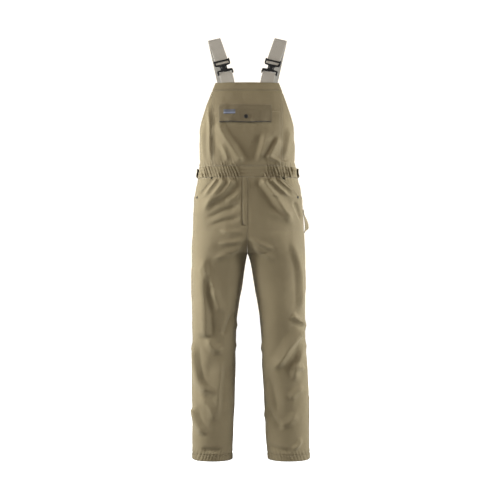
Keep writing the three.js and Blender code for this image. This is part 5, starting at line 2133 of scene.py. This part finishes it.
@dataclass
class Trim(Assembly):
    """The rivets, hammer loop and leg vent."""

    rivet_x: float = 194.0
    rivet_z: float = 1015.0
    loop_top: float = 968.0
    loop_bottom: float = 882.0
    loop_angles: tuple[float, float] = (80.0, 89.0)
    loop_bow: float = 9.5
    loop_twist: float = 30.0

    def rivet(self, word: str, side: float) -> None:
        """Make the rivet at a pocket mouth's foot: a domed head on a thin collar."""
        x, z = np.array([CENTRE_X + side * self.rivet_x]), np.array([self.rivet_z])
        psi = float(self.garment.psi_at(np.array([side]), x, z)[0])
        axes = PressStud("rivet", self.garment, side, psi, self.rivet_z).axes(0.0)
        head = HardPiece(f"{word}_pocket_rivet", axes)
        collar = [(0, -0.2), (5.0, -0.2), (5.3, 0.1), (5.0, 0.6), (4.2, 0.9)]
        dome = [(3.8, 1.6), (2.9, 2.0), (1.7, 1.85), (0, 1.7)]
        head.lathe(collar + dome)
        head.finish(self.wardrobe.metal, "garment", f"{word}_pocket_rivet")

    def loop(self) -> None:
        """Make the hammer loop, which bows away from the left hip."""
        steps = 12
        t = np.arange(steps + 1) / steps
        z = self.loop_top + t * (self.loop_bottom - self.loop_top)
        psi = self.loop_angles[0] + t * (self.loop_angles[1] - self.loop_angles[0])
        side = np.ones(steps + 1)
        stand = self.loop_bow * smoothstep(t, 0.1, 0.75) * (1 - smoothstep(t, 0.82, 1.0))
        centre, out = self.garment.lay(side, psi, z, 0.0)
        centre = centre + out * (GAP + TRIM + 0.4 + stand)[:, None]
        across = np.cross([0.0, 0.0, 1.0], out)
        across /= np.linalg.norm(across, axis=1, keepdims=True)
        twist = np.radians(self.loop_twist * stand / self.loop_bow)[:, None]
        turned = across * np.cos(twist) + out * np.sin(twist)
        across, out = turned, out * np.cos(twist) - across * np.sin(twist)
        band = Ribbon("hammer_loop", centre, across, out, 27.0, 2.6, step=2.0)
        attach(band.build(self.wardrobe.twill, "hammer_loop"), "garment")
        thread = Stitching("loop_stitching")
        for share in (0.09, 0.91):
            column = int(share * (band.face.shape[1] - 1))
            thread.lines.append((band.face[:, column], band.normals[:, column]))
        thread.sew(self.wardrobe.thread, "garment")

    def vent(self) -> None:
        """Make the strip over the left leg's vent, and the dark bartack at its head."""

        def strip(s: Array, t: Array) -> Spot:
            """Place the strip down the outside of the shin."""
            return filled(1.0, s), 82 + 16 * s, 3 + 241 * t

        def tack(s: Array, t: Array) -> Spot:
            """Place the bartack at the strip's head."""
            return filled(1.0, s), 86 + 8 * s, 232 + 10 * t

        piece = ClothPiece(
            "leg_vent_placket", strip, 22.0, 241.0, GAP + TRIM, GAP, step=1.8, rows=rows_along(
                (Edge.START, Edge.END, Edge.TOP), 1.6
            )
        )
        self.sew_on([piece], "vent_stitching")
        lines = []
        for share in np.linspace(0.06, 0.94, 12):
            s = np.linspace(0, 1, 24)
            t = share + 0.04 * np.where(np.arange(24) % 2, 1.0, -1.0)
            lines.append(self.garment.lay(*tack(s, t), GAP + TRIM + 0.5))
        made = Stitching("leg_vent_bartack", 1.3, 2.2, 0.42, lines).sew(self.wardrobe.dark_thread_and_shadow, "garment")
        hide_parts("leg_vent_bartack")

    def build(self) -> None:
        """Make all the trim."""
        for word, side in SIDES:
            self.rivet(word, side)
        self.loop()
        self.vent()
        log.info("made the trim")


@dataclass
class Brace(Assembly):
    """One brace: its three lengths of elastic and its side-release buckle, in millimetres."""

    word: str
    side: float
    width: float = 50.0
    thick: float = 1.4
    fold: tuple[float, float, float] = (130.0, 0.0, 1632.0)
    fold_radius: float = 2.4
    buckle_at: tuple[float, float, float] = (91.5, -62.0, 1515.0)
    male_bar: float = 16.5
    female_bar: float = -28.0
    bar_radius: float = 2.2
    tail: float = 62.0
    tab_x: float = 75.0
    tab_bottom: float = BIB_TOP_Z - 46
    back_x: float = 72.0
    back_bottom: float = BACK_TOP_Z - 37
    frame_half: float = 31.0
    slot_half: float = 26.3
    housing: float = 4.0
    chest_radius: float = 150.0
    rib_height: float = 0.13

    def __post_init__(self) -> None:
        """Work out the buckle's frame, along the line up to the shoulder fold."""
        fold, origin = (
            np.array([CENTRE_X + self.side * p[0], p[1], p[2]]) for p in (self.fold, self.buckle_at)
        )
        self.reach = float(np.linalg.norm(fold - origin))
        up = unit(fold - origin)
        across = unit(np.array([1.0, 0.0, 0.0]) - up * up[0])
        self.axes = Axes(origin, across, up, np.cross(across, up))
        self.wrap = self.bar_radius + 0.4 + self.thick / 2
        self.depth = -CLOTH - GAP - self.width**2 / (8 * self.chest_radius) - self.thick / 2

    def at(self, y: float, z: float) -> Array:
        """Return the point at a place up the strap and out from it."""
        return self.axes.origin + self.axes.y * y + self.axes.z * z

    def ring(self, y: float, z: float, turns: Sequence[float], radius: float, upward: float) -> list[
        Spot
    ]:
        """Return strap frames round a bar or fold."""
        frames = []
        for turn in np.radians(turns):
            way = self.axes.z * math.cos(turn) + self.axes.y * (upward * math.sin(turn))
            frames.append((self.at(y, z) + way * radius, self.axes.x, way))
        return frames

    def on_panel(self, x: float, z: float, depth: float, back: bool) -> Spot:
        """Return a strap frame inside the bib or back; past its top edge the strap goes straight up."""
        top = BACK_TOP_Z if back else BIB_TOP_Z
        held = np.array([min(z, top)])
        side = np.array([self.side])
        psi = self.garment.psi_at(side, np.array([CENTRE_X + self.side * x]), held, back)
        out = self.garment.normal(side, psi, held)[0]
        point = self.garment.bare(side, psi, held)[0] + out * depth
        point[2] += 0.0 if back else z - held[0]
        across = unit(np.cross([0.0, 0.0, 1.0], out))
        return point, (-across if back else across), out

    def ribbon(
        self, name: str, frames: Sequence[Spot], pitch: float
    ) -> bpy.types.Object:
        """Make a length of the brace's elastic through its frames."""
        centres, across, out = (np.array([f[k] for f in frames]) for k in range(3))
        band = Ribbon(name, centres, across, out, self.width, self.thick, self.rib_height, pitch)
        return band.build(self.wardrobe.elastic, name)

    def straps(self) -> None:
        """Make the front, back and lower straps."""
        x, z = self.axes.x, self.axes.z
        w = self.wrap
        front = [
            (self.at(p, w), x, z)
            for p in (self.reach - 4, self.reach * 0.75, self.reach * 0.5, self.male_bar + 8, self.male_bar)
        ]
        front += self.ring(self.male_bar, 0, (36, 72, 108, 144), w, -1)
        front += [
            (self.at(p, -w), x, -z) for p in (self.male_bar, self.male_bar + 10, self.male_bar + self.tail)
        ]
        made = self.ribbon(f"{self.word}_front_strap", front, 2.4)
        start, end = (frame_metres(self.at(p, 0)) for p in (self.reach, self.male_bar + 12))
        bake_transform(made)
        rows = (self.back_bottom, (self.back_bottom + BACK_TOP_Z) / 2, BACK_TOP_Z + 1)
        back = [self.on_panel(self.back_x, row, self.depth, True) for row in rows]
        low = back[-1]
        target = self.at(self.reach - self.fold_radius * 2, -self.fold_radius)
        for share in (0.33, 0.66, 0.97):
            along = unit(low[1] * (1 - share) + x * share)
            back.append(
                (low[0] * (1 - share) + target * share, along, -unit(np.cross(along, target - low[0])))
            )
        back += self.ring(
            self.reach - self.fold_radius, self.fold_radius * 0.6, (150, 110, 70, 30), self.fold_radius, 1
        )
        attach(self.ribbon(f"{self.word}_back_strap", back, 2.4), "garment")
        inner = self.depth - self.thick - GAP
        heights = (self.tab_bottom, (self.tab_bottom + BIB_TOP_Z) / 2, BIB_TOP_Z + 2)
        lower = [self.on_panel(self.tab_x, h, self.depth, False) for h in heights]
        lower += self.ring(self.female_bar, 0, (-20, 20, 60, 100, 140, 180), w, 1)
        lower += [
            (p, a, -o) for p, a, o in (self.on_panel(self.tab_x, h, inner, False) for h in reversed(heights))
        ]
        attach(self.ribbon(f"{self.word}_tab_strap", lower, 2.9), "garment")

    def male(self) -> None:
        """Make the buckle's upper half: a waisted body, two ears, a bar over the strap and one behind."""
        piece = HardPiece(f"{self.word}_buckle_male", self.axes)
        slot = self.male_bar - self.wrap - self.thick
        outline = curve_outline(
            (0, 4.0), (12.8, 4.0), (14, 9.5, 23, 10), (31, 11, 31, 18), (31, 33), (
                31, 36, 28.5, 36
            ), (26.3, 36), (26.3, slot), (0, slot)
        )
        piece.plate(outline, -self.housing, self.housing, 1.1)
        face = self.wrap + self.thick / 2 + GAP
        for k in (-1, 1):
            low, high = sorted((k * self.slot_half, k * self.frame_half))
            piece.bar((low, high, 20.0, 34.0, self.housing - 1, face + 3), 1.2)
            piece.bar((k * 20 - 2.2, k * 20 + 2.2, 5.2, 9.2, self.housing - 0.5, self.housing + 0.7), 0.5)
        piece.bar((-self.slot_half - 1, self.slot_half + 1, 23.7, 30.3, face, face + 3), 1.2)
        piece.rod(self.slot_half + 1, self.male_bar, 0, self.bar_radius)
        piece.bar((-4.5, 4.5, -12, 5, -1.5, 1.5), 0.5)
        piece.bar((-9.5, 9.5, 4.8, 9.4, self.housing - 0.4, self.housing + 0.8), 0.5)
        piece.finish(self.wardrobe.plastic, f"{self.word}_release", piece.name)

    def prongs(self) -> None:
        """Make the two spring prongs, each with a barbed grip."""
        for name, k in (("inner", -1), ("outer", 1)):
            side = k if self.side > 0 else -k
            piece = HardPiece(f"{self.word}_buckle_{name}_prong", self.axes)
            outline = np.array(
                [(9.3, 3.6), (9.3, -9.5), (12.0, -9.5), (13.0, -7.2), (12.2, -4.5), (12.8, -1.0), (12.8, 3.6)]
            )
            outline[:, 0] *= side
            piece.plate(outline if side > 0 else outline[::-1], -3, 3, 0.5)
            piece.finish(self.wardrobe.plastic, f"{self.word}_{name}_prong", piece.name)

    def female(self) -> None:
        """Make the lower half of the buckle: a sleeve that flares to a flange with two curled ends."""
        piece = HardPiece(f"{self.word}_buckle_female", self.axes)
        slot = self.female_bar + self.wrap + self.thick
        outline = curve_outline(
            (0, slot), (26.3, slot), (26.3, -33), (29, -35, 31, -31), (31, -19), (31, -14, 24, -13.4), (
                9.5, -12.8, 7.6, -8
            ), (7.6, 3.7), (0, 3.7)
        )
        piece.plate(outline, -self.housing, self.housing, 1.1)
        piece.rod(self.slot_half + 1, self.female_bar, 0, self.bar_radius)
        piece.bar((-5.5, 5.5, -13, 2.2, self.housing - 0.4, self.housing + 0.7), 0.5)
        for k in (-1, 1):
            piece.bar(
                (k * 28.6 - 2.3, k * 28.6 + 2.3, -33.5, -20, self.housing - 0.5, self.housing + 1.2), 0.9
            )
        piece.finish(self.wardrobe.plastic, "garment", piece.name)

    def build(self) -> None:
        """Make the whole brace."""
        self.straps()
        self.male()
        self.prongs()
        self.female()
        log.info("made the %s brace", self.word)


@dataclass
class Studio:
    """The floor, lights and camera, in metres."""

    eye: tuple[float, float, float] = (-0.0017, -4.1, 0.813)
    lens: float = 75.7
    floor_half: float = 9.0
    room_light: float = 0.21
    seen_light: float = 1.25
    daylight: tuple[float, float, float] = (0.93, 0.98, 1.0)
    warmth: tuple[float, float, float] = (1.0, 0.94, 0.85)

    def lamp(
        self,
        name: str,
        at: tuple[float, float, float],
        to: tuple[float, float, float],
        size: float,
        power: float,
    ) -> None:
        """Hang a large soft lamp that faces a point. The windows' light is cooler than the rest."""
        data = bpy.data.lights.new(name, "AREA")
        data.shape = "RECTANGLE"
        data.size = size
        data.size_y = size * 1.3
        data.energy = power
        data.color = self.daylight if "window" in name else self.warmth
        made = bpy.data.objects.new(name, data)
        made.location = at
        made.visible_camera = False
        made.rotation_euler = (Vector(to) - Vector(at)).to_track_quat("-Z", "Y").to_euler()
        bpy.context.scene.collection.objects.link(made)

    def build(self) -> None:
        """Set the stage."""
        half = self.floor_half
        corners = np.array([(-half, -half, 0.0), (half, -half, 0.0), (half, half, 0.0), (-half, half, 0.0)])
        floor = make_object(
            "floor",
            corners - np.array([0, 0, 0.0006]),
            [[0, 1, 2, 3]],
            FloorFinish("studio floor", Slot.TWILL),
        )
        world = bpy.data.worlds.new("studio")
        bpy.context.scene.world = world
        world.use_nodes = True
        graph = Graph(world.node_tree)
        room = world.node_tree.nodes["Background"]
        seen = graph.node("LightPath").outputs["Is Camera Ray"]
        room.inputs["Color"].default_value = (*self.warmth, 1)
        graph.feed(room.inputs["Strength"], graph.span(seen, 0.0, 1.0, self.room_light, self.seen_light))
        self.lamp("left window", (-2.4, -0.45, 1.35), (0, -0.05, 0.95), 1.0, 186)
        self.lamp("right window", (2.4, -0.27, 1.2), (0, -0.05, 0.85), 1.0, 150)
        self.lamp("ceiling", (0, 0.2, 3.8), (0, 0.2, 0), 3.5, 24)
        self.lamp("key", (-0.7, -2.1, 3.1), (0, -0.1, 1.3), 0.35, 36)
        self.lamp("rear fill", (0.6, 2.9, 2.0), (0, 0.1, 0.9), 1.6, 62)
        data = bpy.data.cameras.new("camera")
        data.lens = self.lens
        data.sensor_width = 36
        camera = bpy.data.objects.new("camera", data)
        camera.location = self.eye
        camera.rotation_euler = (math.pi / 2, 0, 0)
        bpy.context.scene.collection.objects.link(camera)
        bpy.context.scene.camera = camera
        bpy.context.scene.view_settings.view_transform = "Standard"
        log.info("set the studio")


def creases() -> tuple[Crease, ...]:
    """Return the garment's creases. On the front, across is X and up is Z; on the sides across is Y."""
    f, b, left, right = Face.FRONT, Face.BACK, Face.LEFT, Face.RIGHT
    return (
        # Bib
        Crease(f, ((-122, 1300), (-92, 1240), (-58, 1190), (-26, 1138)), 5.5, 17, -0.35, 0.15, 0.15),
        Crease(f, ((-160, 1385), (-151, 1300), (-151, 1210), (-148, 1140)), 4.2, 9, 0.1),
        Crease(f, ((-176, 1300), (-178, 1220), (-172, 1150)), 3.0, 12, 0.1),
        Crease(f, ((-112, 1225), (-92, 1180), (-84, 1140)), 2.4, 9),
        Crease(f, ((62, 1268), (46, 1200), (26, 1138)), 4.0, 13, 0.3),
        Crease(f, ((112, 1250), (88, 1198), (64, 1145)), 4.2, 11, 0.3),
        Crease(f, ((150, 1290), (142, 1220), (128, 1150)), 3.2, 12, 0.2),
        Crease(f, ((56, 1176), (84, 1160), (118, 1152)), 2.6, 6),
        Crease(f, ((90, 1150), (126, 1146), (160, 1152)), 2.4, 6),
        # Hips, from the gathered waist down
        Crease(f, ((-92, 1084), (-128, 1034), (-186, 950)), 6.5, 14, -0.2, 0.12, 0.3),
        Crease(f, ((-62, 1084), (-102, 1030), (-160, 985)), 5.0, 12, -0.1, 0.12, 0.4),
        Crease(f, ((-122, 1084), (-150, 1048), (-178, 1006)), 4.0, 8, 0.0, 0.12, 0.3),
        Crease(f, ((-30, 984), (-100, 962), (-176, 930)), -3.2, 10, 0.2),
        Crease(f, ((-28, 938), (-90, 926), (-172, 900)), -2.6, 9, 0.2),
        Crease(f, ((-26, 1046), (-60, 1010), (-100, 996)), 2.4, 10),
        Crease(f, ((42, 1086), (84, 1030), (128, 966), (172, 920)), 7.0, 15, 0.25, 0.1, 0.25),
        Crease(f, ((74, 1086), (110, 1050), (154, 1010)), 5.0, 10, 0.1, 0.12, 0.3),
        Crease(f, ((104, 1086), (140, 1052), (168, 1030)), 3.6, 7, 0.0, 0.12, 0.3),
        Crease(f, ((168, 1000), (184, 962), (197, 930)), -5.0, 6, 0.1, 0.2, 0.2),
        Crease(f, ((60, 960), (120, 940), (180, 905)), 2.6, 13),
        # Crotch whiskers
        Crease(f, ((-12, 858), (-60, 842), (-130, 838)), 3.4, 8),
        Crease(f, ((-14, 842), (-70, 806), (-150, 776)), 3.8, 11),
        Crease(f, ((-6, 862), (40, 836), (96, 812)), 3.6, 8),
        Crease(f, ((-4, 838), (44, 808), (100, 770)), 3.4, 10),
        Crease(f, ((-14, 884), (-70, 880), (-120, 890)), 2.4, 9),
        # Right thigh and shin, at the viewer's left
        Crease(f, ((-170, 806), (-176, 700), (-170, 560), (-168, 470)), 6.5, 20, -0.45, 0.25, 0.12),
        Crease(f, ((-186, 760), (-150, 700), (-112, 600)), 3.4, 14, 0.2),
        Crease(f, ((-150, 672), (-128, 620), (-108, 570)), 3.2, 12, 0.2),
        Crease(f, ((-222, 470), (-204, 350), (-182, 292), (-124, 262)), 6.5, 14, -0.25, 0.15, 0.3),
        Crease(f, ((-168, 478), (-140, 440), (-96, 424)), 4.0, 13),
        Crease(f, ((-60, 590), (-86, 520), (-106, 480)), -3.4, 10),
        Crease(f, ((-108, 410), (-116, 330), (-124, 230), (-122, 150)), 4.8, 15, -0.4, 0.3, 0.35),
        Crease(f, ((-222, 208), (-204, 150), (-168, 96)), 6.0, 13, -0.15, 0.15, 0.3),
        Crease(f, ((-200, 270), (-150, 200), (-130, 150)), 3.0, 14),
        Crease(f, ((-190, 50), (-150, 42), (-100, 46)), -2.8, 8),
        # Left thigh and shin, at the viewer's right
        Crease(f, ((150, 870), (186, 760), (196, 640), (188, 560)), 5.0, 15, 0.3),
        Crease(f, ((158, 566), (184, 546), (214, 524)), 5.0, 10, -0.1, 0.2, 0.15),
        Crease(f, ((212, 512), (160, 452), (122, 392), (80, 348)), 6.5, 16, -0.3, 0.12, 0.3),
        Crease(f, ((212, 470), (190, 400), (172, 352), (176, 300)), 5.0, 13, 0.2),
        Crease(f, ((150, 380), (184, 362), (214, 360)), 3.6, 10),
        Crease(f, ((60, 360), (90, 260), (110, 170)), -3.6, 16, 0.2),
        Crease(f, ((210, 290), (172, 262), (150, 240)), 4.0, 12),
        Crease(f, ((66, 210), (90, 160), (130, 120)), -3.6, 12),
        Crease(f, ((186, 190), (150, 152), (110, 140)), 3.0, 13),
        Crease(f, ((196, 92), (184, 62), (160, 46)), 4.4, 8),
        Crease(f, ((70, 60), (120, 44), (170, 40)), -2.6, 8),
        # Seat and back of the legs
        Crease(b, ((-14, 830), (-70, 806), (-140, 812)), 4.6, 12),
        Crease(b, ((-6, 830), (50, 804), (120, 812)), 4.6, 12),
        Crease(b, ((-14, 800), (-60, 760), (-120, 740)), 4.0, 13),
        Crease(b, ((-4, 800), (46, 758), (104, 740)), 4.0, 13),
        Crease(b, ((-200, 520), (-140, 500), (-80, 512)), 5.0, 12),
        Crease(b, ((-210, 470), (-150, 448), (-76, 462)), 4.6, 13),
        Crease(b, ((60, 512), (120, 498), (196, 520)), 5.0, 12),
        Crease(b, ((58, 462), (126, 446), (204, 470)), 4.6, 13),
        Crease(b, ((-160, 430), (-140, 300), (-150, 160)), 4.0, 18),
        Crease(b, ((140, 430), (130, 300), (150, 160)), 4.0, 18),
        Crease(b, ((-96, 1086), (-120, 1040), (-150, 980)), 4.2, 11, 0.0, 0.12, 0.4),
        Crease(b, ((76, 1086), (100, 1040), (130, 980)), 4.2, 11, 0.0, 0.12, 0.4),
        Crease(b, ((-50, 1086), (-60, 1040), (-72, 990)), 3.4, 9, 0.0, 0.12, 0.4),
        Crease(b, ((32, 1086), (42, 1040), (54, 990)), 3.4, 9, 0.0, 0.12, 0.4),
        Crease(b, ((-150, 1260), (-110, 1200), (-90, 1140)), 4.0, 14),
        Crease(b, ((130, 1260), (92, 1200), (70, 1140)), 4.0, 14),
        Crease(b, ((-60, 1330), (-46, 1250), (-52, 1140)), 3.0, 13),
        Crease(b, ((44, 1330), (28, 1250), (34, 1140)), 3.0, 13),
        # The two outer sides
        Crease(left, ((-40, 1086), (-10, 1030), (30, 980)), 3.6, 10),
        Crease(left, ((-70, 560), (-10, 520), (60, 540)), 4.4, 12),
        Crease(left, ((-60, 470), (0, 440), (60, 470)), 3.6, 12),
        Crease(left, ((-50, 760), (-10, 700), (20, 620)), 3.6, 16),
        Crease(right, ((-40, 1086), (-10, 1030), (30, 980)), 3.6, 10),
        Crease(right, ((-60, 470), (-10, 430), (60, 452)), 4.6, 12),
        Crease(right, ((-60, 220), (0, 170), (60, 190)), 4.0, 13),
        Crease(right, ((-40, 760), (-6, 700), (10, 600)), 3.6, 16),
        Crease(left, ((-40, 1250), (-10, 1190), (20, 1140)), 3.0, 11),
        Crease(right, ((-40, 1250), (-10, 1190), (20, 1140)), 3.0, 11),
    )


# Places that a stud or rivet holds flat: x, y, z and reach.
STILL_SPOTS = (
    (-15.0, -118.0, 1319.0, 11.0),
    (-200.6, 4.0, 1111.0, 12.0),
    (181.6, 4.0, 1111.0, 12.0),
    (-204.0, -55.5, 1015.0, 7.0),
    (184.0, -67.2, 1015.0, 7.0),
)


def dress_carried(frame: dict, wardrobe: Wardrobe) -> None:
    """Give every carried-over node of the frame its finish, by its name."""
    by_name = {
        "zip_tape": wardrobe.lining,
        "zip_chain": wardrobe.zip_metal,
        "zip_slider": wardrobe.zip_metal,
        "zip_pull": wardrobe.zip_metal,
    }
    for name, node in frame["nodes"].items():
        finish = by_name.get(
            name, wardrobe.metal if name.endswith(("_cap", "_socket", "_stud", "_rivet")) else wardrobe.twill
        )
        node.data.materials.clear()
        node.data.materials.append(finish.get())
    log.info("dressed %d carried nodes", len(frame["nodes"]))


def main() -> None:
    """Build the scene round the frame."""
    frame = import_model()
    Studio().build()
    wardrobe = Wardrobe()
    garment = Garment(creases=creases(), still=STILL_SPOTS)
    dress_carried(frame, wardrobe)
    Trousers(garment, wardrobe).build()
    Fly(garment, wardrobe).build()
    Waist(garment, wardrobe).build()
    Bib(garment, wardrobe).build()
    Back(garment, wardrobe).build()
    Trim(garment, wardrobe).build()
    for word, side in SIDES:
        Brace(garment, wardrobe, word, side).build()
    log.info("done")


if __name__ == "__main__":
    logging.basicConfig(level=logging.INFO, format="%(name)s: %(message)s")
    main()
